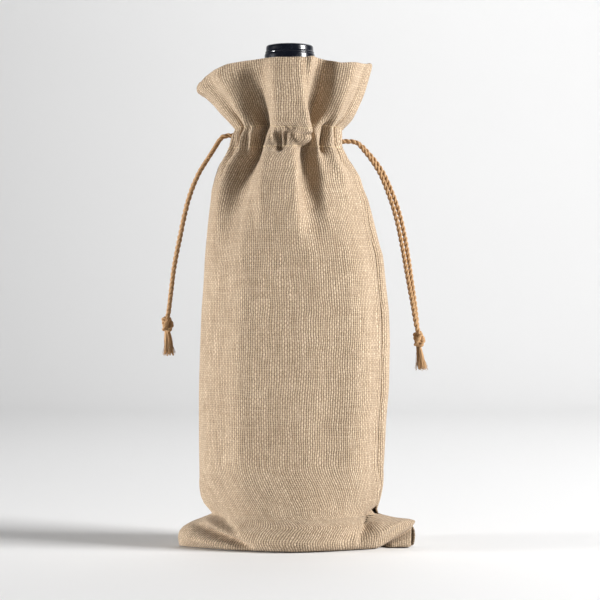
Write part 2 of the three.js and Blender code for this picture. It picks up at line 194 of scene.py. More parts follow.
LEFT_RIDGE = (2, 0.0, [
    (196, 154, 8, 0), (214, 150, 7.4, 2.4), (230, 144.6, 6.4, 4), (246, 138.4, 5.2, 4.6),
    (256, 134.4, 5, 4.6),
    (268, 134, 7.6, 3.6), (293, 136, 10, 2.4),
])
LEFT_NARROW = (
    2, 0.0,
    [
        (234, 131, 2.6, 0), (241, 129.4, 2.8, 3.6), (250, 127.4, 2.8, 4.2), (257, 126, 3, 2),
        (264, 125, 3, 0),
    ],
)
LEFT_CREASE = (
    2, 0.0,
    [
        (214, 161, 4.4, 0), (232, 154, 3.6, -3), (248, 147.4, 3.2, -4.6), (258, 146, 3.8, -3.4),
        (275, 148, 7, -1.4), (293, 150, 8, 0),
    ],
)
LEFT_EDGE_RIDGE = (
    2, 0.0,
    [(224, 168, 4, 0), (238, 162, 3.6, 2.4), (251, 158, 3.4, 3), (260, 158, 4, 1.6), (275, 160, 6, 0.6)],
)
RIM_PEAK = (2, 0.0, [(272, 76, 4, 0), (284, 75, 4, 2), (293, 75, 4, 3)])
# The cloth lies flat across the front of the body, between two soft corners.
BODY_CORNERS = [
    (
        2.4, 0.0,
        [
            (24, place, half, 0), (44, place, half, depth), (170, place, half, depth),
            (205, place, half, 0),
        ],
    )
    for place, half, depth in ((117, 13, 2.6), (47, 14, 2.8))
]
BODY_FACET = (4, 0.0, [(30, 84, 24, 0), (52, 84, 24, -0.7), (176, 84, 24, -0.7), (205, 84, 24, 0)])
FRONT_FOLDS = [
    CENTRE_PLEAT, PLEAT_KNOB, RIGHT_VALLEY, RIGHT_FINGER, RIGHT_SLIT, RIGHT_RIDGE, RIGHT_CREASE,
    SHOULDER_PLEAT, POCKET, *POCKET_PLEATS, LEFT_VALLEY, LEFT_RIDGE, LEFT_NARROW, LEFT_CREASE,
    LEFT_EDGE_RIDGE, RIM_PEAK,
    *BODY_CORNERS, BODY_FACET,
]
# The pleats of the frill sag over the casing: mm down for each mm that they stand out.
SAG = 0.26
SAG_SHARE = [(241, 0), (244, 1), (258, 1), (266, 0)]
# The back's folds share one rise and fall: (height, share, drift of the place in degrees).
BACK_SWELL = [
    (184, 0, -5), (204, 0.3, -3), (220, 0.6, -2), (236, 0.92, -1), (246, 1, 0), (256, 1, 1),
    (272, 0.7, 3), (293, 0.42, 4),
]
# Each is (squareness, place, half width, outward depth), in the units of the front's folds.
BACK_FOLDS = [
    (2, 203, 4.2, -3.8), (2, 215, 6, 3.6), (3, 230, 6.4, -7.2), (4, 254, 14, 6), (3, 275, 6.4, -7.6),
    (2, 288, 4.6, 3.8), (2, 299, 4, -4.6), (2, 314, 7, 4), (2, 330, 4.4, -3.8), (2, 341, 4.4, 2.4),
]


def smooth_table(table, column, at, spread):
    """Value of one column of a table at the distances `at`: straight between the table's rows, then
    averaged with a bell curve of the given spread, in mm."""
    table = np.array(table, float)
    offsets = np.linspace(-2.5, 2.5, 11)
    weights = np.exp(-0.5 * offsets**2)
    weights /= weights.sum()
    samples = np.asarray(at, float)[..., None] + offsets * spread
    return (np.interp(samples, table[:, 0], table[:, column]) * weights).sum(-1)


def folded(place, height):
    """How far the folds push the cloth outwards and sideways, in mm. Each fold is a bump across the bag,
    exp(-|distance / half width| ** squareness), times a depth that changes with the height."""
    total = np.zeros(np.broadcast(place, height).shape)
    sideways = total.copy()
    for squareness, lean, rows in FRONT_FOLDS:
        centre, half, depth = (smooth_table(rows, k, height, 0.5) for k in (1, 2, 3))
        push = depth * np.exp(-np.abs((place - centre) / half) ** squareness)
        total += push
        sideways += lean * push
    share, drift = (smooth_table(BACK_SWELL, k, height, 2.0) for k in (1, 2))
    for squareness, centre, half, depth in BACK_FOLDS:
        distance = np.abs(place - centre - drift * np.sign(centre - 270)) / half
        total += depth * share * np.exp(-distance**squareness)
    return total + fine_gathers(place, height) + slack(place, height), sideways


def fine_gathers(place, height):
    """Small pleats beside the drawstrings: two beating sine waves round the bag, strongest at the
    casing and dying out 16 mm above and below it."""
    middle = (CASING_LOW + CASING_HIGH) / 2
    strength = np.exp(-(((height - middle) / 12) ** 2))
    waves = np.sin(np.radians(place) * 31 + 0.03 * height) + 0.7 * np.sin(np.radians(place) * 47 + 2)
    return 0.42 * strength * waves


def slack(place, height):
    """Loose cloth on the body: long low waves round and up the bag, faded out at the floor and the neck."""
    fade = np.clip((height - 22) / 30, 0, 1) * np.clip((235 - height) / 40, 0, 1)
    turn = np.radians(place)
    waves = (
        np.sin(3 * turn + 0.021 * height)
        + 0.7 * np.sin(5 * turn - 0.034 * height + 1.3)
        + 0.5 * np.sin(8 * turn + 0.05 * height + 4)
    )
    return 0.34 * fade * waves


# ---- foot: the creases between the body and the corners that lie on the floor ----
# (x, z, depth) along each crease of the front cloth, and the crease's half width.
FOOT_CREASES = [
    (
        2.0,
        [
            (-60, 13.6, 0), (-55, 12.4, -4.4), (-50, 11, -7.4), (-44, 9.4, -8.4), (-36, 7.2, -7.4),
            (-29, 5.2, -5), (-20, 2.4, 0),
        ],
    ),
    (3.2, [(-49, 26, 0), (-44, 20, -2.4), (-40, 16.6, -3.6), (-35, 13, -3), (-29, 10, 0)]),
    (1.8, [(-53, 18.5, 0), (-48, 16.6, 2.6), (-43, 14, 3), (-37, 11.2, 2), (-31, 8.8, 0)]),
    (3.2, [(-68, 6, 0), (-60, 6.4, 2.6), (-48, 4.8, 3.6), (-36, 2.2, 2.4), (-24, 0, 0)]),
    (2.0, [(40, 5, 0), (44.5, 9.6, -3.6), (49, 14.8, -7), (53, 20, -5), (56, 26, 0)]),
    (3.6, [(28, 5, 0), (36, 9.4, -1.8), (44, 14.6, -3), (50, 21, -2.4), (54, 29, 0)]),
    (3.0, [(44, 4.5, 0), (53, 9, 2.6), (62, 12.6, 3), (70, 14.8, 1.4), (76, 15.6, 0)]),
]
# Where the right corner starts to curl up, in mm from the middle, and how steeply.
LIP_START, LIP_SLOPE = 52.0, 0.6


def foot_depth(x, z):
    """How far the creases at the foot push the front cloth outwards, in mm: a bell curve across each
    crease's line, times a depth that changes along it."""
    total = np.zeros_like(x)
    for half, rows in FOOT_CREASES:
        line = np.array(rows, float)
        middle = np.interp(x, line[:, 0], line[:, 1])
        slope = np.interp(x, line[:, 0], np.gradient(line[:, 1], line[:, 0]))
        depth = np.interp(x, line[:, 0], line[:, 2])
        total += depth * np.exp(-(((z - middle) / (half * np.sqrt(1 + slope**2))) ** 2))
    return total


def base_seam(x):
    """Place of the seam under the base from front to back, in mm: it runs to the point of each corner."""
    share = np.clip((np.abs(x) / np.where(x < 0, REACH_LEFT[0][1], REACH_RIGHT[0][1]) - 0.6) / 0.4, 0, 1)
    return BASE_SEAM_Y * (1 - share * share * (3 - 2 * share))


def lifted_lip(x, z, along):
    """Height of the front cloth once its right corner curls up off the floor: the lower edge climbs
    with x, and the cloth above it is squeezed into what is left."""
    edge = np.maximum(0, x - LIP_START)
    edge = LIP_SLOPE * edge**2 / (edge + 2.5)
    hold = np.interp(along, [-46, -36, -30, -25, -14, 0], [0, 0.04, 0.42, 0.72, 0.94, 1])
    squeeze = np.clip(1 - z / 17.5, 0, 1)
    return z + edge * hold * squeeze


def lower_ear(x, along):
    """How far the layer under the right corner's lip comes forward over the floor, in mm: it rolls out
    beyond the lip and back in to its underside."""
    gate = np.clip((x - 53) / 9, 0, 1)
    return 11.0 * gate * gate * (3 - 2 * gate) * np.interp(
        along, [-46, -41, -36, -31, -26, -19], [0, 0.62, 1, 0.95, 0.5, 0],
    )


# ---- openings where the drawstrings leave ----
SLOT_HALF_WIDTH = 4.3
SLOT_HALF_HEIGHT = 3.6
CORD_HEIGHT = {LEFT: 250.3, RIGHT: 246.7}
NODE_NAMES = {
    half: [
        f"{half}_{part}" for part in ("panel", "shoulder", "casing", "frill", "hem")
    ] for half in (FRONT, BACK)
}


def slot_opening(along, side):
    """How far the cloth's edge draws back from the side seam, in mm, beside a drawstring."""
    distance = (along - CORD_HEIGHT[side]) / SLOT_HALF_HEIGHT
    return SLOT_HALF_WIDTH * np.exp(-(distance**4))


ANGLE_STEPS = 1500
SEAM_REACH = 1.0
SEAM_TRIM = 0.12
FOLD_REACH = 0.026


def lowest_nearby(values, reach):
    """The lowest value within `reach` columns on either side, then averaged over as many."""
    padded = np.pad(values, ((0, 0), (reach, reach)), mode="edge")
    lowest = np.min([padded[:, k : k + values.shape[1]] for k in range(2 * reach + 1)], axis=0)
    padded = np.pad(lowest, ((0, 0), (reach, reach)), mode="edge")
    return np.mean([padded[:, k : k + values.shape[1]] for k in range(2 * reach + 1)], axis=0)


def cloth_surface(half, along, across, inward, rolled=0.0, within=0.0):
    """Points of the cloth for every pair of `along` (distance up the cloth) and `across` (0 to 1 from
    seam to seam), as an array of rows, columns and x, y, z, in mm.

    Each row's outline has the support function h(a) = (r^p + (w |cos a|)^p)^(1/p): a circle of the bag's
    depth r joined to a point at each side, and p sets how sharply. The folds push it outwards along its
    normal, and the columns are spaced evenly along the folded line. `inward` moves a row in from the
    outer face, and `rolled` lifts it, for the turned edge of the rim. `within` (0 to 1) keeps a row inside
    the bottoms of the narrow folds."""
    along = np.asarray(along, float)
    inward = np.broadcast_to(np.asarray(inward, float), along.shape)
    rolled = np.broadcast_to(np.asarray(rolled, float), along.shape)
    within = np.broadcast_to(np.asarray(within, float), along.shape)
    base = math.pi if half == FRONT else 0.0
    before = int(ANGLE_STEPS * SEAM_REACH / (SEAM_REACH + math.pi))
    angle = np.concatenate([
        np.linspace(base - SEAM_REACH, base, before, endpoint=False),
        np.linspace(base, base + math.pi, ANGLE_STEPS - before),
    ])
    c, s = np.cos(angle)[None], np.sin(angle)[None]

    share = np.clip((along - CASING_HIGH) / (RIM - CASING_HIGH), 0, 1)
    in_frill = along > CASING_HIGH
    left = np.where(
        in_frill, smooth_table(FRILL_LEFT, 1, share, 0.03), smooth_table(REACH_LEFT, 1, along, 0.7),
    )
    right = np.where(
        in_frill, smooth_table(FRILL_RIGHT, 1, share, 0.03), smooth_table(REACH_RIGHT, 1, along, 0.7),
    )
    depth = smooth_table(DEPTH, 1, along, 2.0)[:, None]
    power = smooth_table(POINTEDNESS, 1, along, 2.0)[:, None]
    reach = np.where(c < 0, left[:, None], right[:, None])
    width = np.maximum(reach**power - depth**power, 0.0) ** (1 / power)
    size = (depth**power + (width * np.abs(c)) ** power) ** (1 / power)
    slope = -(size ** (1 - power)) * width**power * np.abs(c) ** (power - 1) * np.sign(c) * s
    x = size * c - slope * s
    y = size * s + slope * c

    turn = np.degrees(np.arccos(np.clip(x / reach, -1, 1)))
    place = np.where(y < 0, turn, 360 - turn)
    z = smooth_table(HEIGHT, 1, along, 0.6)[:, None]
    push, sideways = folded(place, along[:, None])
    if half == FRONT:
        push = push + foot_depth(x, z + 0 * x) * np.clip((26 - z) / 3, 0, 1)
    x = x + push * c - sideways * s
    y = y + push * s + sideways * c

    run = np.concatenate([
        np.zeros((len(along), 1)), np.cumsum(np.hypot(np.diff(x, axis=1), np.diff(y, axis=1)), axis=1),
    ], axis=1)
    shift = smooth_table(SEAM_SHIFT, 1, along, 3.0)
    start = run[:, before] - shift + SEAM_TRIM
    end = run[:, -1] - shift - SEAM_TRIM
    across = np.asarray(across, float)[None]
    length = (end - start)[:, None]
    first, last = (LEFT, RIGHT) if half == FRONT else (RIGHT, LEFT)
    place_along = (
        start[:, None] + across * length
        + slot_opening(along, first)[:, None] * np.exp(-across * length / 5)
        - slot_opening(along, last)[:, None] * np.exp(-(1 - across) * length / 5)
    )

    stride = run.max() + 10
    rows = np.arange(len(along))[:, None] * stride
    at, known = (place_along + rows).ravel(), (run + rows).ravel()

    def pick(values):
        """The values at the evenly spaced columns."""
        return np.interp(at, known, np.broadcast_to(values, run.shape).ravel()).reshape(place_along.shape)

    out_x, out_y, stand = pick(c), pick(s), pick(push)
    out_length = np.hypot(out_x, out_y)
    reach = max(1, round(FOLD_REACH * across.shape[1]))
    deep = inward[:, None] + within[:, None] * (stand - lowest_nearby(stand, reach))
    x = pick(x) - deep * out_x / out_length
    y = pick(y) - deep * out_y / out_length
    z = np.broadcast_to(z, x.shape)

    frill_top = np.interp(x, *np.array(RIM_LINE, float).T)
    frill_z = CASING_HIGH + share[:, None] * (frill_top - CASING_HIGH)
    sag = SAG * np.maximum(stand, 0) * smooth_table(SAG_SHARE, 1, along, 0.8)[:, None]
    z = np.where(in_frill[:, None], frill_z, z) + rolled[:, None] - sag
    if half == FRONT:
        z = lifted_lip(x, z, along[:, None])
    flat = smooth_table(FLATTENED, 1, along, 1.0)[:, None]
    y = base_seam(x) * (1 - flat) + y * flat
    y = y + (-0.2 if half == FRONT else 0.2) * (1 - flat)
    if half == FRONT:
        y = y - lower_ear(x, along[:, None])
    return np.stack([x, y, z], -1)


def edge_roll(across, width):
    """Depth of the groove and the ridge beside a side seam, in mm, against the distance from it."""
    distance = np.minimum(across, 1 - across) * width
    return 1.2 * np.exp(-((distance / 1.1) ** 2)) - 0.75 * np.exp(-(((distance - 4.2) / 1.7) ** 2))


# ---- mesh helpers ----
PLIES, PLY_SIDES = 2, 9
TURNED_STEPS = 120


def grid_faces(rows, columns, closed=False):
    """Corner numbers of the four-sided faces of a grid, joined round its columns if it is closed."""
    r, c = np.meshgrid(np.arange(rows - 1), np.arange(columns if closed else columns - 1), indexing="ij")
    after = (c + 1) % columns
    return np.stack(
        [r * columns + c, r * columns + after, (r + 1) * columns + after, (r + 1) * columns + c], -1,
    ).reshape(-1, 4)


def make_piece(name, points, faces, material, uv=None):
    """A mesh object at the origin from points in mm, faces of three or four corners, and an optional
    texture place for each point."""
    mesh = bpy.data.meshes.new(name)
    faces = [np.asarray(group) for group in (faces if isinstance(faces, list) else [faces])]
    corners = np.concatenate([group.ravel() for group in faces])
    totals = np.concatenate([np.full(len(group), group.shape[1]) for group in faces])
    mesh.vertices.add(len(points))
    mesh.vertices.foreach_set("co", (np.asarray(points) * MM).astype(np.float32).ravel())
    mesh.loops.add(len(corners))
    mesh.loops.foreach_set("vertex_index", corners.astype(np.int32))
    mesh.polygons.add(len(totals))
    mesh.polygons.foreach_set("loop_start", np.concatenate([[0], np.cumsum(totals)[:-1]]).astype(np.int32))
    mesh.polygons.foreach_set("loop_total", totals.astype(np.int32))
    mesh.polygons.foreach_set("use_smooth", np.full(len(totals), True))
    if uv is not None:
        layer = mesh.uv_layers.new(name="UVMap")
        layer.data.foreach_set("uv", np.asarray(uv)[corners].astype(np.float32).ravel())
    mesh.update(calc_edges=True)
    mesh.validate()
    piece = bpy.data.objects.new(name, mesh)
    piece.data.materials.append(material)
    bpy.context.scene.collection.objects.link(piece)
    return piece


def joined(parts):
    """Several (points, faces, uv) sets as one: the corner numbers of each are moved past those before it."""
    points, faces, uvs, count = [], [], [], 0
    for part_points, part_faces, part_uv in parts:
        points.append(part_points)
        faces += [group + count for group in part_faces]
        uvs.append(part_uv)
        count += len(part_points)
    return np.concatenate(points), faces, np.concatenate(uvs)


def unit(vectors):
    """Vectors of length 1."""
    return vectors / np.maximum(np.linalg.norm(vectors, axis=-1, keepdims=True), 1e-9)


def running_length(points):
    """Length along a line of points up to each of them, in mm."""
    return np.concatenate([[0], np.cumsum(np.linalg.norm(np.diff(points, axis=0), axis=1))])


def smooth_path(points, step, spread):
    """A line through the points in mm, with an even step: straight between them, then averaged with a
    bell curve. The line is carried on past both ends first, so that they stay in place."""
    points = np.asarray(points, float)
    run = running_length(points)
    count = max(8, int(run[-1] / step))
    at = np.linspace(0, run[-1], count + 1)
    dense = np.stack([np.interp(at, run, points[:, k]) for k in range(3)], -1)
    reach = max(2, int(3 * spread / step))
    head = 2 * dense[0] - dense[reach:0:-1]
    tail = 2 * dense[-1] - dense[-2 : -reach - 2 : -1]
    padded = np.concatenate([head, dense, tail])
    weights = np.exp(-0.5 * (np.arange(-reach, reach + 1) * step / spread) ** 2)
    weights /= weights.sum()
    return np.stack([np.convolve(padded[:, k], weights, "valid") for k in range(3)], -1)


def tube(path, radius, sides, reference, closed=False):
    """A round tube: a circle of `radius` (one value or one for each point) carried along the path. The
    circle's first direction is the reference made square to the path. Ends close in a low cone."""
    count = len(path)
    if closed:
        tangent = unit(np.roll(path, -1, axis=0) - np.roll(path, 1, axis=0))
    else:
        tangent = unit(np.gradient(path, axis=0))
    reference = np.broadcast_to(reference, path.shape)
    first = unit(reference - (reference * tangent).sum(-1, keepdims=True) * tangent)
    second = np.cross(tangent, first)
    angle = np.linspace(0, 2 * math.pi, sides, endpoint=False)
    radius = np.broadcast_to(radius, (count,))[:, None, None]
    circle = np.cos(angle)[None, :, None] * first[:, None] + np.sin(angle)[None, :, None] * second[:, None]
    points = (path[:, None] + radius * circle).reshape(-1, 3)
    run = running_length(path)
    uv = np.stack(
        np.broadcast_arrays((angle / (2 * math.pi))[None], run[:, None] / UV_SPAN), -1,
    ).reshape(-1, 2)
    ring = np.arange(sides)
    if closed:
        faces = grid_faces(count, sides, closed=True)
        bridge = np.stack(
            [
                (count - 1) * sides + ring, (count - 1) * sides + (ring + 1) % sides, (ring + 1) % sides,
                ring,
            ],
            -1,
        )
        return points, [np.concatenate([faces, bridge])], uv
    ends = np.array([path[0] - tangent[0] * radius[0, 0] * 0.5, path[-1] + tangent[-1] * radius[-1, 0] * 0.5])
    start_fan = np.stack([(ring + 1) % sides, ring, np.full(sides, count * sides)], -1)
    last = (count - 1) * sides
    end_fan = np.stack([last + ring, last + (ring + 1) % sides, np.full(sides, count * sides + 1)], -1)
    return np.concatenate([points, ends]), [
        grid_faces(count, sides, closed=True), start_fan, end_fan,
    ], np.concatenate([uv, uv[:1], uv[-1:]])


def twine(path, diameter, reference, pitch, turn=0.0, closed=False):
    """Twisted jute twine: each ply is a tube along a helix round the path, its thickness changing
    slightly along its length. Returns points, faces and texture places."""
    tangent = unit(
        np.roll(path, -1, axis=0) - np.roll(path, 1, axis=0)
    ) if closed else unit(np.gradient(path, axis=0))
    reference = np.broadcast_to(reference, path.shape)
    first = unit(reference - (reference * tangent).sum(-1, keepdims=True) * tangent)
    second = np.cross(tangent, first)
    run = running_length(path)
    total = run[-1]
    turns = round(total / pitch) / total if closed else 1 / pitch
    parts = []
    for ply in range(PLIES):
        phase = 2 * math.pi * (run * turns + ply / PLIES) + turn
        out = np.cos(phase)[:, None] * first + np.sin(phase)[:, None] * second
        wobble = 1 + 0.07 * np.sin(run * 0.9 + ply * 2.1 + turn) + 0.05 * np.sin(run * 2.3 + ply + 2 * turn)
        parts.append(tube(path + out * diameter * 0.235, diameter * 0.29 * wobble, PLY_SIDES, out, closed))
    return joined(parts)


def turned_piece(name, profile, material):
    """A solid of revolution: the profile of (radius, height) points, from the axis to the axis, carried
    round Z. Its two ends on the axis are single points."""
    profile = np.array(profile, float)
    inner = profile[1:-1]
    steps = TURNED_STEPS
    angle = np.linspace(0, 2 * math.pi, steps, endpoint=False)
    rings = np.stack(np.broadcast_arrays(
        inner[:, :1] * np.cos(angle), inner[:, :1] * np.sin(angle), inner[:, 1:] + 0 * angle,
    ), -1).reshape(-1, 3)
    ring = np.arange(steps)
    after = (ring + 1) % steps
    last = (len(inner) - 1) * steps
    low, high = len(rings), len(rings) + 1
    points = np.concatenate([rings, [[0, 0, profile[0, 1]], [0, 0, profile[-1, 1]]]])
    faces = [
        grid_faces(len(inner), steps, closed=True),
        np.stack([after, ring, np.full(steps, low)], -1),
        np.stack([last + ring, last + after, np.full(steps, high)], -1),
    ]
    return make_piece(name, points, faces, material)


def rounded_profile(points, radius, arc=3):
    """The profile with each corner cut back by up to `radius` and replaced by a short curve."""
    points = np.array(points, float)
    result = [points[0]]
    for before, corner, after in zip(points[:-2], points[1:-1], points[2:]):
        back, ahead = before - corner, after - corner
        cut = min(radius, np.hypot(*back) * 0.45, np.hypot(*ahead) * 0.45)
        start, end = corner + unit(back) * cut, corner + unit(ahead) * cut
        for t in np.linspace(0, 1, arc):
            result.append((1 - t) ** 2 * start + 2 * t * (1 - t) * corner + t**2 * end)
    return np.array([*result, points[-1]])


# ---- material helpers ----
def add_node(tree, kind, **settings):
    """A shader node with the given settings."""
    node = tree.nodes.new(kind)
    for key, value in settings.items():
        setattr(node, key, value)
    return node


def feed(tree, socket, value):
    """Links a socket to another, or sets its value."""
    if isinstance(value, bpy.types.NodeSocket):
        tree.links.new(value, socket)
    else:
        socket.default_value = value


def math_node(tree, operation, *values):
    """One arithmetic step, and its result."""
    node = add_node(tree, "ShaderNodeMath", operation=operation)
    for socket, value in zip(node.inputs, values):
        feed(tree, socket, value)
    return node.outputs[0]


def remap(tree, value, low, high, to_low=0.0, to_high=1.0):
    """A value carried from one range to another, held at its ends."""
    node = add_node(tree, "ShaderNodeMapRange")
    for socket, item in zip(node.inputs, (value, low, high, to_low, to_high)):
        feed(tree, socket, item)
    return node.outputs[0]


def object_place(tree):
    """Places in the object's own coordinates."""
    return add_node(tree, "ShaderNodeTexCoord").outputs["Object"]


def shaded(colour, share):
    """A colour made darker or lighter, with its alpha."""
    return (*[share * v for v in colour], 1.0)


def noise(tree, vector, scale, detail=2.0, roughness=0.5):
    """Smooth noise from 0 to 1."""
    node = add_node(tree, "ShaderNodeTexNoise")
    feed(tree, node.inputs["Vector"], vector)
    node.inputs["Scale"].default_value = scale
    node.inputs["Detail"].default_value = detail
    node.inputs["Roughness"].default_value = roughness
    return node.outputs[0]


def chance(tree, value, seed):
    """A random number from 0 to 1 for each whole number."""
    node = add_node(tree, "ShaderNodeTexWhiteNoise", noise_dimensions="1D")
    feed(tree, node.inputs["W"], math_node(tree, "ADD", value, seed))
    return node.outputs["Value"]


def combine(tree, x, y, z=0.0):
    """A vector from its three parts."""
    node = add_node(tree, "ShaderNodeCombineXYZ")
    for socket, item in zip(node.inputs, (x, y, z)):
        feed(tree, socket, item)
    return node.outputs[0]


def mix_colour(tree, share, first, second):
    """A colour between two others."""
    node = add_node(tree, "ShaderNodeMix", data_type="RGBA", blend_type="MIX")
    feed(tree, node.inputs[0], share)
    feed(tree, node.inputs[6], first)
    feed(tree, node.inputs[7], second)
    return node.outputs[2]


def new_group(name, inputs, outputs):
    """An empty node group with named sockets. Each input is (name, kind, default)."""
    group = bpy.data.node_groups.new(name, "ShaderNodeTree")
    for socket_name, kind, default in inputs:
        socket = group.interface.new_socket(socket_name, in_out="INPUT", socket_type=kind)
        if default is not None:
            socket.default_value = default
    for socket_name, kind in outputs:
        group.interface.new_socket(socket_name, in_out="OUTPUT", socket_type=kind)
    return group, add_node(group, "NodeGroupInput"), add_node(group, "NodeGroupOutput")


def weave_group():
    """Plain weave. Threads run both ways across the texture place, each going over and under the next
    in turn, like two cosine waves half a step apart. The upright threads stand highest, so the cloth
    looks ribbed. Each thread is a half-round whose thickness and tone change along it. The Gap output
    is 1 where the threads lie low or leave a gap, and marks where the material paints shadow."""
    group, given, result = new_group(
        "Plain Weave",
        [
            ("Place", "NodeSocketVector", None), ("Upright Threads", "NodeSocketFloat", 260.0),
            ("Cross Threads", "NodeSocketFloat", 290.0), ("Unevenness", "NodeSocketFloat", 1.0),
        ],
        [
            ("Height", "NodeSocketFloat"), ("Tone", "NodeSocketFloat"), ("Gap", "NodeSocketFloat"),
            ("Fibre", "NodeSocketFloat"),
        ],
    )

    def sums(value, factor, offset):
        """value * factor + offset."""
        return math_node(group, "MULTIPLY_ADD", value, factor, offset)

    place = given.outputs["Place"]
    split = add_node(group, "ShaderNodeSeparateXYZ")
    feed(group, split.inputs[0], place)
    reach = math_node(group, "MULTIPLY", given.outputs["Unevenness"], 3.0)
    threads = []
    for axis, count_name, shift in ((0, "Upright Threads", 0.0), (1, "Cross Threads", 5.3)):
        moved = add_node(group, "ShaderNodeVectorMath", operation="ADD")
        feed(group, moved.inputs[0], place)
        moved.inputs[1].default_value = (shift, 2 * shift, 0.0)
        drift = math_node(group, "SUBTRACT", noise(group, moved.outputs[0], 14, 5, 0.62), 0.5)
        threads.append(
            sums(
                split.outputs[axis], given.outputs[count_name],
                math_node(group, "MULTIPLY", drift, reach),
            )
        )
    u, v = threads

    def thread(position, other, seed, plump):
        """Half-round height of one set of threads, their tone, and their wave over and under."""
        count = math_node(group, "FLOOR", position)
        offset = math_node(group, "SUBTRACT", math_node(group, "FRACT", position), 0.5)
        slow = noise(
            group,
            combine(group, sums(count, 7.31, seed), math_node(group, "MULTIPLY", other, 0.075), seed),
            1.0, 2, 0.6,
        )
        quick = noise(
            group,
            combine(group, sums(count, 3.17, seed), math_node(group, "MULTIPLY", other, 0.3), seed), 1.0,
            1,
        )
        half = sums(quick, 0.34, sums(chance(group, count, seed), 0.06, plump))
        ratio = math_node(group, "DIVIDE", offset, half)
        square = math_node(group, "SUBTRACT", 1.0, math_node(group, "MULTIPLY", ratio, ratio))
        round_height = math_node(group, "SQRT", math_node(group, "MAXIMUM", square, 0.0))
        step = math_node(group, "ADD", math_node(group, "SUBTRACT", other, 0.5), count)
        return round_height, slow, math_node(group, "COSINE", math_node(group, "MULTIPLY", step, math.pi))

    round_up, tone_up, wave_up = thread(u, v, 11.0, 0.2)
    round_across, tone_across, wave_across = thread(v, u, 57.0, 0.33)
    upright = math_node(group, "MULTIPLY", round_up, sums(wave_up, 0.2, 0.8))
    across = math_node(group, "MULTIPLY", round_across, sums(wave_across, -0.3, 0.44))
    height = math_node(group, "MAXIMUM", upright, across)
    over = math_node(group, "GREATER_THAN", upright, across)

    def on_top(value_up, value_across):
        """The value of whichever thread is on top."""
        node = add_node(group, "ShaderNodeMix", data_type="FLOAT")
        for socket, value in zip(
            (node.inputs[0], node.inputs[2], node.inputs[3]), (over, value_across, value_up),
        ):
            feed(group, socket, value)
        return node.outputs[0]

    along_up = noise(
        group,
        combine(group, math_node(group, "MULTIPLY", u, 6.0), math_node(group, "MULTIPLY", v, 0.9)), 1.0,
        3, 0.65,
    )
    along_across = noise(
        group,
        combine(group, math_node(group, "MULTIPLY", u, 0.9), math_node(group, "MULTIPLY", v, 6.0)), 1.0,
        3, 0.65,
    )
    fibre = on_top(along_up, along_across)
    feed(group, result.inputs["Height"], sums(math_node(group, "SUBTRACT", fibre, 0.5), 0.34, height))
    feed(group, result.inputs["Tone"], on_top(tone_up, tone_across))
    feed(group, result.inputs["Gap"], remap(group, height, 0.42, 0.12))
    feed(group, result.inputs["Fibre"], fibre)
    return group


def fibre_group():
    """Fibres that wind along a twisted strand: noise stretched along slanted stripes of the texture
    place, with a slower change of tone along the strand."""
    group, given, result = new_group(
        "Strand Fibres",
        [("Place", "NodeSocketVector", None), ("Slant", "NodeSocketFloat", 30.0)],
        [("Height", "NodeSocketFloat"), ("Tone", "NodeSocketFloat")],
    )
    split = add_node(group, "ShaderNodeSeparateXYZ")
    feed(group, split.inputs[0], given.outputs["Place"])
    around = math_node(group, "MULTIPLY", split.outputs[0], 2 * math.pi)
    stripe = math_node(group, "MULTIPLY_ADD", split.outputs[1], given.outputs["Slant"], around)
    ring = combine(
        group, math_node(group, "COSINE", stripe), math_node(group, "SINE", stripe),
        math_node(group, "MULTIPLY", split.outputs[1], 26.0),
    )
    fine = noise(group, ring, 5.0, 3, 0.6)
    slow = noise(group, ring, 1.3, 2)
    feed(group, result.inputs["Height"], fine)
    feed(
        group, result.inputs["Tone"],
        math_node(group, "MULTIPLY_ADD", fine, 0.6, math_node(group, "MULTIPLY", slow, 0.4)),
    )
    return group


def wear_group():
    """Slow changes of tone over a surface from Object coordinates, as cloth has from handling and dye."""
    group, given, result = new_group(
        "Slow Tone", [("Place", "NodeSocketVector", None), ("Size", "NodeSocketFloat", 30.0)],
        [("Tone", "NodeSocketFloat")],
    )
    node = add_node(group, "ShaderNodeTexNoise")
    feed(group, node.inputs["Vector"], given.outputs["Place"])
    feed(group, node.inputs["Scale"], given.outputs["Size"])
    node.inputs["Detail"].default_value = 3.0
    feed(group, result.inputs["Tone"], node.outputs[0])
    return group


def use_group(tree, name, maker, **values):
    """A node that places a shared group, made the first time that it is asked for."""
    node = add_node(tree, "ShaderNodeGroup")
    node.node_tree = bpy.data.node_groups.get(name) or maker()
    for key, value in values.items():
        feed(tree, node.inputs[key], value)
    return node


def new_material(name, roughness, **constants):
    """A material with a Principled shader, whose constant values are set on its own sockets."""
    material = bpy.data.materials.new(name)
    material.use_nodes = True
    shader = material.node_tree.nodes["Principled BSDF"]
    shader.inputs["Roughness"].default_value = roughness
    for key, value in constants.items():
        shader.inputs[key.replace("_", " ")].default_value = value
    return material, material.node_tree, shader


def add_bump(tree, shader, height, strength, distance):
    """Feeds a height into the shader's normal."""
    bump = add_node(tree, "ShaderNodeBump")
    bump.inputs["Strength"].default_value = strength
    bump.inputs["Distance"].default_value = distance
    feed(tree, bump.inputs["Height"], height)
    feed(tree, shader.inputs["Normal"], bump.outputs[0])


CROSS_SHARE = 1.08  # cross threads to each upright thread


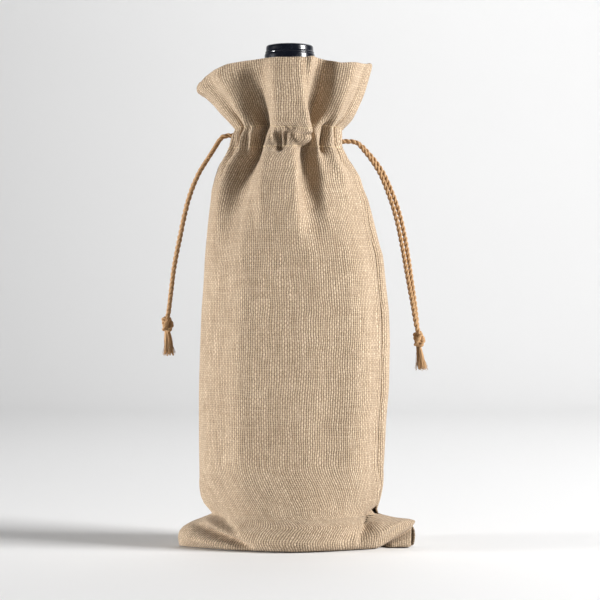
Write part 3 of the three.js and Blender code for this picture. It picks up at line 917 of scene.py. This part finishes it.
def jute_material(settings):
    """Coarse woven jute: warm tan threads of many tones, with painted shade where the threads dip and
    near-black painted shadow in the gaps between them.
    """
    material, tree, shader = new_material(
        "woven_jute", 0.92, **{"Sheen_Weight": 0.12, "Specular_IOR_Level": 0.2},
    )
    place = add_node(tree, "ShaderNodeUVMap", uv_map="UVMap").outputs[0]
    threads = UV_SPAN / (settings.thread_pitch / MM)
    weave = use_group(tree, "Plain Weave", weave_group, **{
        "Place": place, "Upright Threads": threads, "Cross Threads": threads * CROSS_SHARE,
    })
    light, dark = ((*tone, 1.0) for tone in (settings.cloth_light, settings.cloth_dark))
    fibre = remap(tree, weave.outputs["Fibre"], 0.3, 0.7)
    tone = remap(tree, weave.outputs["Tone"], 0.3, 0.7)
    share = math_node(tree, "MULTIPLY_ADD", fibre, 0.5, math_node(tree, "MULTIPLY", tone, 0.5))
    colour = mix_colour(tree, share, dark, light)
    slow = use_group(tree, "Slow Tone", wear_group, Place=object_place(tree))
    colour = mix_colour(tree, remap(tree, slow.outputs["Tone"], 0.35, 0.7, 0.0, 0.16), colour, dark)
    # Painted shade: the colour darkens towards a dark thread tone where the weave's height is low, where the
    # threads dip under each other.
    deep = remap(tree, weave.outputs["Height"], 0.9, 0.35, 0.0, 0.78)
    colour = mix_colour(tree, deep, colour, shaded(settings.cloth_dark, 0.42))
    # Painted shadow: near-black colour where no thread lies, standing in for the shade seen through the gaps
    # in the weave.
    painted_gap_shadow = math_node(tree, "MULTIPLY", weave.outputs["Gap"], 0.95)
    colour = mix_colour(tree, painted_gap_shadow, colour, shaded(settings.cloth_dark, 0.1))
    feed(tree, shader.inputs["Base Color"], colour)
    add_bump(tree, shader, weave.outputs["Height"], 0.8, 0.0005)
    return material


def strand_material(name, light, dark, roughness=0.9):
    """Jute twine, thread or loose fibre: fibres of two tones that wind along it."""
    material, tree, shader = new_material(
        name, roughness, **{"Sheen_Weight": 0.1, "Specular_IOR_Level": 0.25},
    )
    place = add_node(tree, "ShaderNodeUVMap", uv_map="UVMap").outputs[0]
    fibres = use_group(tree, "Strand Fibres", fibre_group, Place=place, Slant=260.0)
    share = remap(tree, fibres.outputs["Tone"], 0.36, 0.62)
    feed(tree, shader.inputs["Base Color"], mix_colour(tree, share, (*dark, 1.0), (*light, 1.0)))
    add_bump(tree, shader, fibres.outputs["Height"], 0.6, 0.00025)
    return material


def glass_material(settings):
    """Dark green bottle glass, with faint waves in its surface."""
    material, tree, shader = new_material(
        "dark_green_glass", 0.03, **{"IOR": 1.5, "Transmission_Weight": 0.85},
    )
    place = object_place(tree)
    slow = use_group(tree, "Slow Tone", wear_group, Place=place, Size=22.0)
    colour = settings.glass_colour
    feed(
        tree, shader.inputs["Base Color"],
        mix_colour(tree, slow.outputs["Tone"], shaded(colour, 0.8), shaded(colour, 1.2)),
    )
    add_bump(tree, shader, slow.outputs["Tone"], 0.12, 0.0006)
    return material


def wine_material():
    """Deep red wine, its tone changing slowly and at random between two dark reds."""
    material, tree, shader = new_material("red_wine", 0.02, **{"IOR": 1.35, "Specular_IOR_Level": 0.5})
    place = object_place(tree)
    slow = use_group(tree, "Slow Tone", wear_group, Place=place, Size=14.0)
    feed(
        tree, shader.inputs["Base Color"],
        mix_colour(tree, slow.outputs["Tone"], (0.02, 0.001, 0.003, 1), (0.06, 0.003, 0.008, 1)),
    )
    return material


def cork_material():
    """Natural cork: light brown grain with dark pores."""
    material, tree, shader = new_material("natural_cork", 0.85)
    place = object_place(tree)
    grain = noise(tree, place, 420, 4, 0.65)
    pores = remap(tree, noise(tree, place, 900, 2), 0.66, 0.74)
    colour = mix_colour(tree, grain, (0.3, 0.16, 0.075, 1), (0.62, 0.42, 0.24, 1))
    feed(tree, shader.inputs["Base Color"], mix_colour(tree, pores, colour, (0.06, 0.028, 0.012, 1)))
    add_bump(tree, shader, math_node(tree, "SUBTRACT", grain, pores), 0.5, 0.0003)
    return material


def foil_material(settings):
    """Glossy near-black capsule foil, with fine wrinkles up its side and a little blue in it."""
    material, tree, shader = new_material(
        "black_foil", 0.2, **{"Coat_Weight": 0.2, "Coat_Roughness": 0.05, "Specular_IOR_Level": 0.4},
    )
    place = object_place(tree)
    stretch = add_node(tree, "ShaderNodeMapping")
    feed(tree, stretch.inputs["Vector"], place)
    stretch.inputs["Scale"].default_value = (1.0, 1.0, 0.16)
    wrinkles = noise(tree, stretch.outputs[0], 620, 3, 0.55)
    scuffs = use_group(tree, "Slow Tone", wear_group, Place=place, Size=180.0)
    colour = settings.foil_colour
    feed(
        tree, shader.inputs["Base Color"],
        mix_colour(tree, scuffs.outputs["Tone"], (*colour, 1.0), shaded(colour, 1.9)),
    )
    feed(tree, shader.inputs["Roughness"], remap(tree, scuffs.outputs["Tone"], 0.3, 0.7, 0.14, 0.3))
    add_bump(tree, shader, wrinkles, 0.1, 0.0002)
    return material


def plain_material(name, colour, roughness):
    """A matt surface of the stage, with a barely visible change of tone."""
    material, tree, shader = new_material(name, roughness)
    place = object_place(tree)
    share = noise(tree, place, 3.0, 2)
    feed(tree, shader.inputs["Base Color"], mix_colour(tree, share, shaded(colour, 0.985), (*colour, 1.0)))
    return material


def shared_material(name, maker, *values):
    """A material by name, made the first time that it is asked for."""
    return bpy.data.materials.get(name) or maker(*values)


def twine_material(settings):
    """The drawstrings' orange-brown jute."""
    return strand_material("jute_twine", settings.twine_light, settings.twine_dark)


def thread_material(settings):
    """Sewing thread, near the cloth in tone."""
    light, dark = settings.cloth_light, settings.cloth_dark
    return strand_material(
        "sewing_thread", [(2 * a + 3 * b) / 5 for a, b in zip(light, dark)], [0.7 * v for v in dark], 0.8
    )


# ---- settings ----
class GiftBagSettings(PropertyGroup):
    """Sizes and colours of the bag, its drawstrings and the bottle."""

    cloth_thickness: FloatProperty(
        name="Cloth thickness", description="Thickness of one layer of jute", default=0.00095,
        min=0.0003, max=0.0012, unit="LENGTH",
    )
    thread_pitch: FloatProperty(
        name="Thread pitch", description="Distance from thread to thread in the weave", default=0.00142,
        min=0.0005, max=0.004, unit="LENGTH",
    )
    cloth_columns: IntProperty(
        name="Columns", description="Steps across each half of the bag", default=190, min=40, max=220,
    )
    twine_thickness: FloatProperty(
        name="Twine thickness", description="Diameter of a drawstring", default=0.0028, min=0.001,
        max=0.004, unit="LENGTH",
    )
    twine_pitch: FloatProperty(
        name="Twist length", description="Length of one turn of the twine's twist", default=0.0066,
        min=0.003, max=0.02, unit="LENGTH",
    )
    cloth_light: FloatVectorProperty(
        name="Cloth, light thread", description="Colour of the palest threads", subtype="COLOR",
        default=(0.88, 0.70, 0.505), min=0, max=1,
    )
    cloth_dark: FloatVectorProperty(
        name="Cloth, dark thread", description="Colour of the darkest threads", subtype="COLOR",
        default=(0.33, 0.225, 0.138), min=0, max=1,
    )
    twine_light: FloatVectorProperty(
        name="Twine, light fibre", description="Colour of the twine's palest fibres", subtype="COLOR",
        default=(0.42, 0.27, 0.16), min=0, max=1,
    )
    twine_dark: FloatVectorProperty(
        name="Twine, dark fibre", description="Colour of the twine's darkest fibres", subtype="COLOR",
        default=(0.10, 0.057, 0.032), min=0, max=1,
    )
    glass_colour: FloatVectorProperty(
        name="Glass", description="Colour of the bottle", subtype="COLOR", default=(0.05, 0.12, 0.035),
        min=0, max=1,
    )
    foil_colour: FloatVectorProperty(
        name="Foil", description="Colour of the capsule", subtype="COLOR", default=(0.004, 0.005, 0.009),
        min=0, max=1,
    )


# ---- camera ----
CAMERA_PLACE = (0.0063, -1.25, 0.15)
LENS, SENSOR_WIDTH = 122.94, 36.0


class GIFTBAG_OT_camera(Operator):
    """Place the camera level with the middle of the bag, in front of it"""

    bl_idname = "gift_bag.camera"
    bl_label = "Camera"

    def execute(self, context):
        data = bpy.data.cameras.new("camera")
        data.sensor_width = SENSOR_WIDTH
        data.lens = LENS
        data.clip_start, data.clip_end = 0.05, 20.0
        camera = bpy.data.objects.new("camera", data)
        camera.location = CAMERA_PLACE
        camera.rotation_euler = (math.pi / 2, 0, 0)
        context.scene.collection.objects.link(camera)
        context.scene.camera = camera
        return {"FINISHED"}


# ---- drawstrings ----
LEAD_INNER, LEAD_OUTER = 19.5, 39.0
STRAND_SPACING = 4.0
STRAND_CLOSE = 3.4
CORD_ROUTES = {
    LEFT: [
        (0.5, 0), (2, 0.4), (4.2, 3.2), (6.4, 7.2), (10.8, 14), (16, 22.1), (20.2, 31.4), (23.2, 40.5),
        (25.8, 51.3), (28, 62.3), (30.2, 72.8), (31.9, 82.3), (33, 91.7), (34, 100.3), (34.9, 108.1),
    ],
    RIGHT: [
        (0.5, 0), (2, 0.3), (4.2, 2.3), (7.2, 5.6), (11.9, 11.3), (17.2, 19.1), (21.6, 29.3), (25.2, 39.1),
        (27.9, 48.7), (30, 58.7), (31.8, 69.1), (33.4, 79.3), (35, 89.1), (36.6, 98.7), (37.8, 107.3),
        (38.7, 113.9),
    ],
}
CORD_SPLAY = {LEFT: 0.3, RIGHT: 1.5}
KNOT_PLACE = {LEFT: (35.7, 114.9), RIGHT: (39.8, 120.5)}
KNOT_HALF_HEIGHT = 5.8
INTO_KNOT = 2.6
TAIL_LEAN = {LEFT: 1.2, RIGHT: -1.6}
TAIL_LENGTH = 13.0
# Strands and fine fibres of a tail: how many, radius, reach at the end, sides and steps of each.
TAIL_STRANDS = [(16, 0.62, 3.5, 7, 14), (90, 0.1, 4.3, 4, 9)]
CORD_OFFSET = 2.6
ENDS = {FRONT: -1.0, BACK: 1.0}  # the side of the middle that each end hangs on


def strand_path(side, end):
    """Middle line of one end of a drawstring: the straight stretch inside the neck, then the hanging
    route. The pair draws together towards the knot, and the right pair also spreads sideways."""
    sign, push = SIDE_SIGN[side], ENDS[end]
    reach, drop = KNOT_PLACE[side]
    route = np.array([*CORD_ROUTES[side], (reach, drop - KNOT_HALF_HEIGHT + INTO_KNOT)], float)
    share = np.linspace(0, 1, len(route))
    spread = STRAND_SPACING + (STRAND_CLOSE - STRAND_SPACING) * np.minimum(1, 2 * share)
    sideways = CORD_SPLAY[side] * np.sin(math.pi * share) * push
    hanging = np.stack([
        sign * (LEAD_OUTER + route[:, 0] + sideways), push * spread / 2, CORD_HEIGHT[side] - route[:, 1],
    ], -1)
    lead_x = np.linspace(LEAD_INNER, LEAD_OUTER - 1, 8)
    lead = np.stack([sign * lead_x, np.full(8, push * STRAND_SPACING / 2), np.full(8, CORD_HEIGHT[side])], -1)
    return smooth_path(np.concatenate([lead, hanging]), 0.55, 2.0)


class GIFTBAG_OT_drawstrings(Operator):
    """Make the drawstrings: four hanging ends, their knots and frayed tails, and the loops in the casing"""

    bl_idname = "gift_bag.drawstrings"
    bl_label = "Drawstrings"

    def execute(self, context):
        settings = context.scene.gift_bag
        material = shared_material("jute_twine", twine_material, settings)
        diameter = settings.twine_thickness / MM
        pitch = settings.twine_pitch / MM
        for side in (LEFT, RIGHT):
            knot = self.knot(side, diameter, material)
            tail = self.tail(side, material)
            for number, end in enumerate((FRONT, BACK)):
                path = strand_path(side, end)
                points, faces, uv = twine(path, diameter, np.array([0, 1.0, 0]), pitch, turn=1.7 * number)
                strand = make_piece(f"{side}_cord_end_{end}", points, faces, material, uv)
                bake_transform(strand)
                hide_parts(f"{side}_cord_lead_{end}", f"{side}_cord_strand_{end}")
            self.loop(side, diameter, pitch, material)
        return {"FINISHED"}

    def knot(self, side, diameter, material):
        """An overhand knot: a trefoil, which winds three times through and twice round a ring, drawn out
        to the knot's height. Two turns lie side by side, as both ends are tied together."""
        reach, drop = KNOT_PLACE[side]
        centre = np.array([SIDE_SIGN[side] * (LEAD_OUTER + reach), 0, CORD_HEIGHT[side] - drop])
        t = np.linspace(0, 2 * math.pi, 220, endpoint=False)
        parts = []
        for lift, lean in ((-0.9, 0.0), (0.9, 0.5)):
            out = np.stack(
                [
                    np.cos(3 * t) * np.cos(2 * t + lean), np.cos(3 * t) * np.sin(2 * t + lean),
                    np.sin(3 * t),
                ],
                -1,
            )
            core = np.stack([1.35 * np.cos(2 * t + lean), 1.35 * np.sin(2 * t + lean), 0 * t], -1)
            path = (core + 1.25 * out) * np.array([1.0, 0.95, 2.25]) + np.array([0, 0, lift])
            parts.append(twine(centre + path, diameter * 0.94, out, 6.0, closed=True))
        points, faces, uv = joined(parts)
        piece = make_piece(f"{side}_knot", points, faces, material, uv)
        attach(piece, f"{side}_ends")
        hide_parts(f"{side}_cord_knot")
        return piece

    def tail(self, side, material):
        """The frayed tail: strands and fine fibres that start in the knot and fan out as they fall, each
        along a curve whose reach grows with the square of the distance, with a random wave."""
        rng = np.random.default_rng(SEED + (0 if side == LEFT else 1))
        reach, drop = KNOT_PLACE[side]
        sign = SIDE_SIGN[side]
        top = np.array([sign * (LEAD_OUTER + reach), 0, CORD_HEIGHT[side] - drop - KNOT_HALF_HEIGHT + 1.5])
        parts = []
        for count, thick, reach_out, sides, steps in TAIL_STRANDS:
            around = rng.uniform(0, 2 * math.pi, count)
            far = np.sqrt(rng.uniform(0, 1, count)) * reach_out
            near = np.minimum(far, 1.0) * rng.uniform(0.5, 1.2, count)
            length = TAIL_LENGTH * rng.uniform(0.84, 1.06, count) + 1.5
            wave = rng.uniform(-0.5, 0.5, (count, 2))
            t = np.linspace(0, 1, steps)
            spread = near[:, None] + (far - near)[:, None] * t**1.3
            x = spread * np.cos(around)[:, None] - sign * TAIL_LEAN[side] * t + wave[:, :1] * np.sin(4 * t)
            y = spread * np.sin(around)[:, None] * 0.85 + wave[:, 1:] * np.sin(5 * t)
            z = -length[:, None] * t
            paths = top + np.stack([x, y, np.broadcast_to(z, x.shape)], -1)
            taper = thick * (1 - 0.45 * t**3)
            parts += [tube(path, taper, sides, np.array([0, 1.0, 0])) for path in paths]
        points, faces, uv = joined(parts)
        piece = make_piece(f"{side}_frayed_tail", points, faces, material, uv)
        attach(piece, f"{side}_ends")
        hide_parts(f"{side}_cord_tail")
        return piece

    def loop(self, side, diameter, pitch, material):
        """The drawstring's loop in the casing: it runs between the cloth's two layers, from one edge of
        its opening round the bag to the other, inside the bottoms of the narrow folds."""
        height, across = CORD_HEIGHT[side], np.linspace(0, 1, 190)
        rings = [cloth_surface(half, [height], across, CORD_OFFSET, 0.0, 1.0)[0] for half in (FRONT, BACK)]
        ring = np.concatenate(rings if side == LEFT else rings[::-1])
        ring = np.stack([ring[:, 0], ring[:, 1], np.full(len(ring), height)], -1)
        path = smooth_path(ring[6:-6], 0.7, 1.6)
        points, faces, uv = twine(path, diameter, np.array([0, 0, 1.0]), pitch)
        piece = make_piece(f"{side}_loop", points, faces, material, uv)
        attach(piece, "bag")
        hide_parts(f"{side}_cord_loop")


# ---- cloth ----
# Depths inside the outer face, in mm: the hem's layer in the frill, and in the casing behind the cords.
LAYER_OFFSET = 2.3
CHANNEL_OFFSET = 5.2


def cloth_rows():
    """Rows of a half from the base seam up to the rim, round its turned edge, and down the hem inside.
    Returns the distance along the cloth, the distance in from the outer face, the lift, and how far the
    row keeps inside the narrow folds."""
    outer = np.concatenate([
        np.linspace(-46, -4, 17), np.linspace(-3, 20, 24), np.linspace(22.5, 186, 40),
        np.linspace(189, 237, 38),
        np.linspace(238, 257, 38), np.linspace(258.4, RIM, 28),
    ])
    bend = np.linspace(0, math.pi, 7)[1:-1]
    turn_radius = LAYER_OFFSET / 2
    hem = np.concatenate([np.linspace(RIM, 260, 14), np.linspace(258, CASING_LOW + 0.6, 16)])
    hem_inward = np.interp(hem, [CASING_HIGH, CASING_HIGH + 14], [CHANNEL_OFFSET, LAYER_OFFSET])
    hem_within = np.interp(hem, [CASING_HIGH, CASING_HIGH + 10], [1.0, 0.0])
    along = np.concatenate([outer, np.full(5, RIM), hem])
    inward = np.concatenate([np.zeros(len(outer)), turn_radius * (1 - np.cos(bend)), hem_inward])
    rolled = np.concatenate([np.zeros(len(outer)), turn_radius * np.sin(bend), np.zeros(len(hem))])
    within = np.concatenate([np.zeros(len(outer) + 5), hem_within])
    return along, inward, rolled, within


class GIFTBAG_OT_cloth(Operator):
    """Make the two cut pieces of jute, each from the base seam up over the rim to its hem"""

    bl_idname = "gift_bag.cloth"
    bl_label = "Cloth"

    def execute(self, context):
        settings = context.scene.gift_bag
        material = shared_material("woven_jute", jute_material, settings)
        across = np.linspace(0, 1, settings.cloth_columns)
        for half in (FRONT, BACK):
            along, inward, rolled, within = cloth_rows()
            points = cloth_surface(half, along, across, inward, rolled, within)
            width = np.linalg.norm(np.diff(points, axis=1), axis=-1).sum(1)
            groove = edge_roll(across[None], width[:, None]) * np.clip((along - 20) / 8, 0, 1)[:, None]
            points = points - face_normals(points) * groove[..., None]
            run = np.linalg.norm(np.diff(points, axis=0), axis=-1).mean(1)
            run = np.concatenate([[0], np.cumsum(run)])
            flat_width, flat_length = float(np.percentile(width[:-30], 50)), float(run[-1])
            uv = np.stack(
                np.broadcast_arrays(across[None] * flat_width / UV_SPAN, run[:, None] / UV_SPAN), -1,
            )
            piece = make_piece(
                f"{half}_cloth", points.reshape(-1, 3), grid_faces(*points.shape[:2]), material,
                uv.reshape(-1, 2),
            )
            thicken(piece, settings)
            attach(piece, "bag")
            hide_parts(*NODE_NAMES[half])
        return {"FINISHED"}


def thicken(piece, settings):
    """Gives a surface its thickness, inwards from the outer face."""
    wall = piece.modifiers.new("thickness", "SOLIDIFY")
    wall.thickness = settings.cloth_thickness
    wall.offset = -1.0
    wall.use_even_offset = False


def face_normals(points):
    """Outward direction at each point of a grid: across its columns crossed with up its rows."""
    return unit(np.cross(np.gradient(points, axis=1), np.gradient(points, axis=0)))


# Depth of a side seam's turned edge inside the cloth, and the share of each half that it covers.
SEAM_INSET, SEAM_COLUMNS = 1.7, 7
SEAM_SHARES = (0, 0.034), (0.966, 1)


class GIFTBAG_OT_seams(Operator):
    """Make the turned-in edges of the side seams and of the seam under the base"""

    bl_idname = "gift_bag.seams"
    bl_label = "Seam allowances"

    def execute(self, context):
        settings = context.scene.gift_bag
        material = shared_material("woven_jute", jute_material, settings)
        along = np.linspace(27, CASING_LOW - 1.5, 110)
        first, last = (np.linspace(*share, SEAM_COLUMNS) for share in SEAM_SHARES)
        for side, before, after in ((LEFT, BACK, FRONT), (RIGHT, FRONT, BACK)):
            edges = (before, last), (after, first)
            strip = np.concatenate(
                [cloth_surface(half, along, share, SEAM_INSET) for half, share in edges], 1
            )
            self.place(f"{side}_seam_allowance", strip, material, settings, f"{side}_side_seam")
        low, high = (np.array(v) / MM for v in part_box("bottom_seam"))
        x = np.linspace(low[0], high[0], 60)
        curl = np.linspace(0, 1, 10)
        y = low[1] + (high[1] - low[1]) * curl
        z = high[2] - 0.3 + 0.25 * np.sin(x * 0.3)[None] * np.sin(math.pi * curl)[:, None]
        base = np.stack(np.broadcast_arrays(x[None], y[:, None], z), -1)
        self.place("base_seam_allowance", base, material, settings, "bottom_seam")
        return {"FINISHED"}

    def place(self, name, points, material, settings, node):
        """One strip of cloth from a grid of points, standing for a CAD node."""
        run = np.arange(points.shape[0])[:, None] * np.linalg.norm(points[1, 0] - points[0, 0])
        across = np.arange(points.shape[1])[None] * np.linalg.norm(points[0, 1] - points[0, 0])
        uv = np.stack(np.broadcast_arrays(across / UV_SPAN, run / UV_SPAN), -1)
        piece = make_piece(
            name, points.reshape(-1, 3), grid_faces(*points.shape[:2]), material, uv.reshape(-1, 2),
        )
        thicken(piece, settings)
        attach(piece, "bag")
        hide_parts(node)


STITCH_LENGTH, STITCH_GAP, THREAD = 3.1, 0.9, 0.34


def stitches(line, normals, material, name):
    """A row of stitches along a line of points: each is a short thread that leaves the cloth, bows over
    it by the sine of its length, and goes back in."""
    run = running_length(line)
    starts = np.arange(1.5, run[-1] - STITCH_LENGTH - 1.5, STITCH_LENGTH + STITCH_GAP)
    t = np.linspace(0, 1, 7)
    at = starts[:, None] + STITCH_LENGTH * t
    paths = np.stack([np.interp(at, run, line[:, k]) for k in range(3)], -1)
    out = unit(np.stack([np.interp(at, run, normals[:, k]) for k in range(3)], -1))
    paths = paths + out * (THREAD * 1.5 * np.sin(math.pi * t) - THREAD * 0.8)[None, :, None]
    parts = [tube(path, THREAD, 6, direction) for path, direction in zip(paths, out)]
    points, faces, uv = joined(parts)
    return make_piece(name, points, faces, material, uv)


class GIFTBAG_OT_stitching(Operator):
    """Sew the lower and upper edges of the drawstring casing"""

    bl_idname = "gift_bag.stitching"
    bl_label = "Casing stitches"

    def execute(self, context):
        settings = context.scene.gift_bag
        material = shared_material("sewing_thread", thread_material, settings)
        across = np.linspace(0.03, 0.97, 420)
        for half in (FRONT, BACK):
            for edge, height in (("lower", CASING_LOW), ("upper", CASING_HIGH)):
                rows = cloth_surface(half, [height - 0.4, height, height + 0.4], across, 0.0)
                piece = stitches(rows[1], face_normals(rows)[1], material, f"{half}_{edge}_stitches")
                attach(piece, "bag")
                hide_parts(f"{half}_stitch_{edge}")
        return {"FINISHED"}


# ---- bottle ----
BODY_RADIUS, NECK_RADIUS = 38.0, 14.0
LIP_HEIGHT = 300.0
SHOULDER_HEIGHT, NECK_HEIGHT = 188.0, 244.0
BORE = 9.4
WALL = 3.0
PUNT = 22.0
SHOULDER_STEPS, PUNT_STEPS = 28, 10
ULLAGE = 57.0  # from the lip down to the wine


def shoulder_curve(body, neck, lift=0.0):
    """The bottle's shoulder: half a cosine wave from the body's radius in to the neck's."""
    t = np.linspace(0, 1, SHOULDER_STEPS)
    radius = neck + (body - neck) * (1 + np.cos(math.pi * t**0.8)) / 2
    return np.stack([radius, SHOULDER_HEIGHT + (NECK_HEIGHT - SHOULDER_HEIGHT) * t + lift], -1)


def punt_curve(height, radius):
    """The dome pushed up in the bottle's base: a cosine from its top on the axis down to its edge."""
    t = np.linspace(0, 1, PUNT_STEPS)
    return np.stack([radius * t, height * (1 + np.cos(math.pi * t)) / 2], -1)


class GIFTBAG_OT_bottle(Operator):
    """Make the bottle: glass, wine, cork and the capsule over its neck"""

    bl_idname = "gift_bag.bottle"
    bl_label = "Bottle"

    def execute(self, context):
        settings = context.scene.gift_bag
        foot = np.array([0, BOTTLE_FOOT])
        outside = np.concatenate([
            punt_curve(PUNT, 31), rounded_profile(
                [(31, 0), (34, 0), (37, 3), (BODY_RADIUS, 8), (BODY_RADIUS, SHOULDER_HEIGHT - 1)], 2.0,
                5,
            )[1:],
            shoulder_curve(BODY_RADIUS, NECK_RADIUS),
            rounded_profile([
                (NECK_RADIUS, NECK_HEIGHT + 1), (13.6, 286), (14.3, 287.5), (14.3, 293), (13.4, 294),
                (13.4, 298.5),
                (12, LIP_HEIGHT), (BORE, LIP_HEIGHT), (BORE, NECK_HEIGHT),
            ], 0.6),
        ])
        inside = np.concatenate([
            shoulder_curve(BODY_RADIUS - WALL, BORE, -1)[::-1],
            rounded_profile([(35, 180), (35, 12), (30, 7), (26, 8)], 3.0, 5)[1:],
            [[14, 18.2], [6, 24.6], [0, PUNT + WALL + 1]],
        ])
        self.place(
            "glass_bottle", np.concatenate([outside, inside]) + foot, "bottle_glass", "bottle_glass",
            glass_material(settings),
        )
        # The wine fills the bottle to a finger below the cork, and stays a hair inside the glass.
        level = LIP_HEIGHT - ULLAGE
        side = shoulder_curve(BODY_RADIUS - WALL - 0.3, BORE - 0.3, -1.3)
        side = side[side[:, 1] < level]
        floor = [(0, PUNT + WALL + 1.5), (6, 25.2), (14, 18.8), (26, 8.6), (30, 7.6), (34.7, 12.4)]
        wine = np.concatenate([floor, side, [[side[-1, 0], level], [0, level]]])
        self.place("wine_fill", wine + foot, "wine", "wine", wine_material())
        cork_foot, cork_top = (value - BOTTLE_FOOT for value in node_heights("cork"))
        cork = rounded_profile(
            [(0, cork_foot), (BORE - 0.3, cork_foot), (BORE - 0.3, cork_top), (0, cork_top)], 0.7, 4,
        )
        self.place("cork_stopper", cork + foot, "cork", "cork", cork_material())
        top = CAPSULE_TOP - BOTTLE_FOOT
        capsule = rounded_profile([
            (0, top - 0.9), (13.7, top - 0.9), (13.75, top - 5.4), (14.6, top - 7), (14.6, 246), (15.28, 246),
            (15.28, top - 6), (14.8, top - 5.2), (15, top - 4.6), (14.45, top - 3.8), (14.4, top - 1.6),
            (14.1, top - 0.7),
            (13.2, top - 0.2), (12, top), (0, top),
        ], 0.5, 4)
        self.place("foil_capsule", capsule + foot, "capsule", "capsule_foil", foil_material(settings))
        return {"FINISHED"}

    def place(self, name, profile, node, slot, material):
        """One turned piece of the bottle, standing for a CAD node."""
        piece = turned_piece(name, profile, material)
        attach(piece, "bottle")
        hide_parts(node)


# ---- stage ----
# Each light is (name, place, target, size of its square, spread in degrees, power in watts), in metres.
LIGHTS = [
    ("key", (1.8, -0.66, 0.97), (0, 0, 0.14), 0.8, 180, 80.0),
    ("low fill", (-2.2, -0.35, 0.21), (0, 0, 0.15), 0.4, 64, 9.0),
    ("back", (0.3, 1.2, 1.1), (0.3, 1.35, 0.0), 1.6, 180, 8.0),
]
SKY = 0.03


# The paper of the stage, in mm: its half width, front edge, where it starts to rise, the radius of
# the rise, and the wall's top.
PAPER_HALF, PAPER_FRONT, PAPER_RISE, PAPER_RADIUS, PAPER_TOP = 4000.0, -2500.0, 1500, 500.0, 4000.0
PAPER_COLOUR = (0.79, 0.79, 0.79)


class GIFTBAG_OT_stage(Operator):
    """Lay the pale floor, raise the wall behind it, and set the soft studio lights"""

    bl_idname = "gift_bag.stage"
    bl_label = "Stage and lights"

    def execute(self, context):
        scene = context.scene
        sweep = np.linspace(0, math.pi / 2, 16)
        y = np.concatenate(
            [[PAPER_FRONT], PAPER_RISE + PAPER_RADIUS * np.sin(sweep), [PAPER_RISE + PAPER_RADIUS]]
        )
        z = np.concatenate([[0.0], PAPER_RADIUS * (1 - np.cos(sweep)), [PAPER_TOP]])
        x = np.array([-PAPER_HALF, PAPER_HALF])
        points = np.stack(np.broadcast_arrays(x[None], y[:, None], z[:, None]), -1)
        floor = make_piece(
            "studio_floor", points.reshape(-1, 3), grid_faces(len(y), 2),
            plain_material("studio_paper", PAPER_COLOUR, 0.75),
        )
        for light in LIGHTS:
            self.light(*light)
        world = bpy.data.worlds.new("studio")
        world.use_nodes = True
        background = world.node_tree.nodes["Background"]
        background.inputs["Color"].default_value = (1, 1, 1, 1)
        background.inputs["Strength"].default_value = SKY
        scene.world = world
        scene.view_settings.view_transform = "Standard"
        scene.view_settings.look = "None"
        return {"FINISHED"}

    def light(self, name, place, target, size, spread, power):
        """One square soft light, turned to face its target."""
        data = bpy.data.lights.new(name, "AREA")
        data.shape, data.size, data.energy = "SQUARE", size, power
        data.spread = math.radians(spread)
        lamp = bpy.data.objects.new(name, data)
        lamp.location = place
        direction = np.array(target) - np.array(place)
        flat = math.hypot(direction[0], direction[1])
        lamp.rotation_euler = (
            math.pi / 2 + math.atan2(direction[2], flat), 0, math.atan2(-direction[0], direction[1]),
        )
        bpy.context.scene.collection.objects.link(lamp)


OPERATORS = [
    GIFTBAG_OT_camera, GIFTBAG_OT_drawstrings, GIFTBAG_OT_cloth, GIFTBAG_OT_seams, GIFTBAG_OT_stitching,
    GIFTBAG_OT_bottle, GIFTBAG_OT_stage,
]


class GIFTBAG_PT_sidebar(Panel):
    """Lists the bag's settings and the steps that make it"""

    bl_idname = "GIFTBAG_PT_sidebar"
    bl_label = "Gift Bag"
    bl_space_type = "VIEW_3D"
    bl_region_type = "UI"
    bl_category = "Gift Bag"

    def draw(self, context):
        settings = context.scene.gift_bag
        for name in GiftBagSettings.__annotations__:
            self.layout.prop(settings, name)
        for step in OPERATORS:
            self.layout.operator(step.bl_idname)


CLASSES = [GiftBagSettings, *OPERATORS, GIFTBAG_PT_sidebar]


def register():
    """Adds the classes and the scene's settings."""
    for item in CLASSES:
        bpy.utils.register_class(item)
    bpy.types.Scene.gift_bag = PointerProperty(type=GiftBagSettings)


def unregister():
    """Takes them away again."""
    del bpy.types.Scene.gift_bag
    for item in reversed(CLASSES):
        bpy.utils.unregister_class(item)


def main():
    register()
    for step in OPERATORS:
        group, name = step.bl_idname.split(".")
        getattr(getattr(bpy.ops, group), name)()


if __name__ == "__main__":
    main()
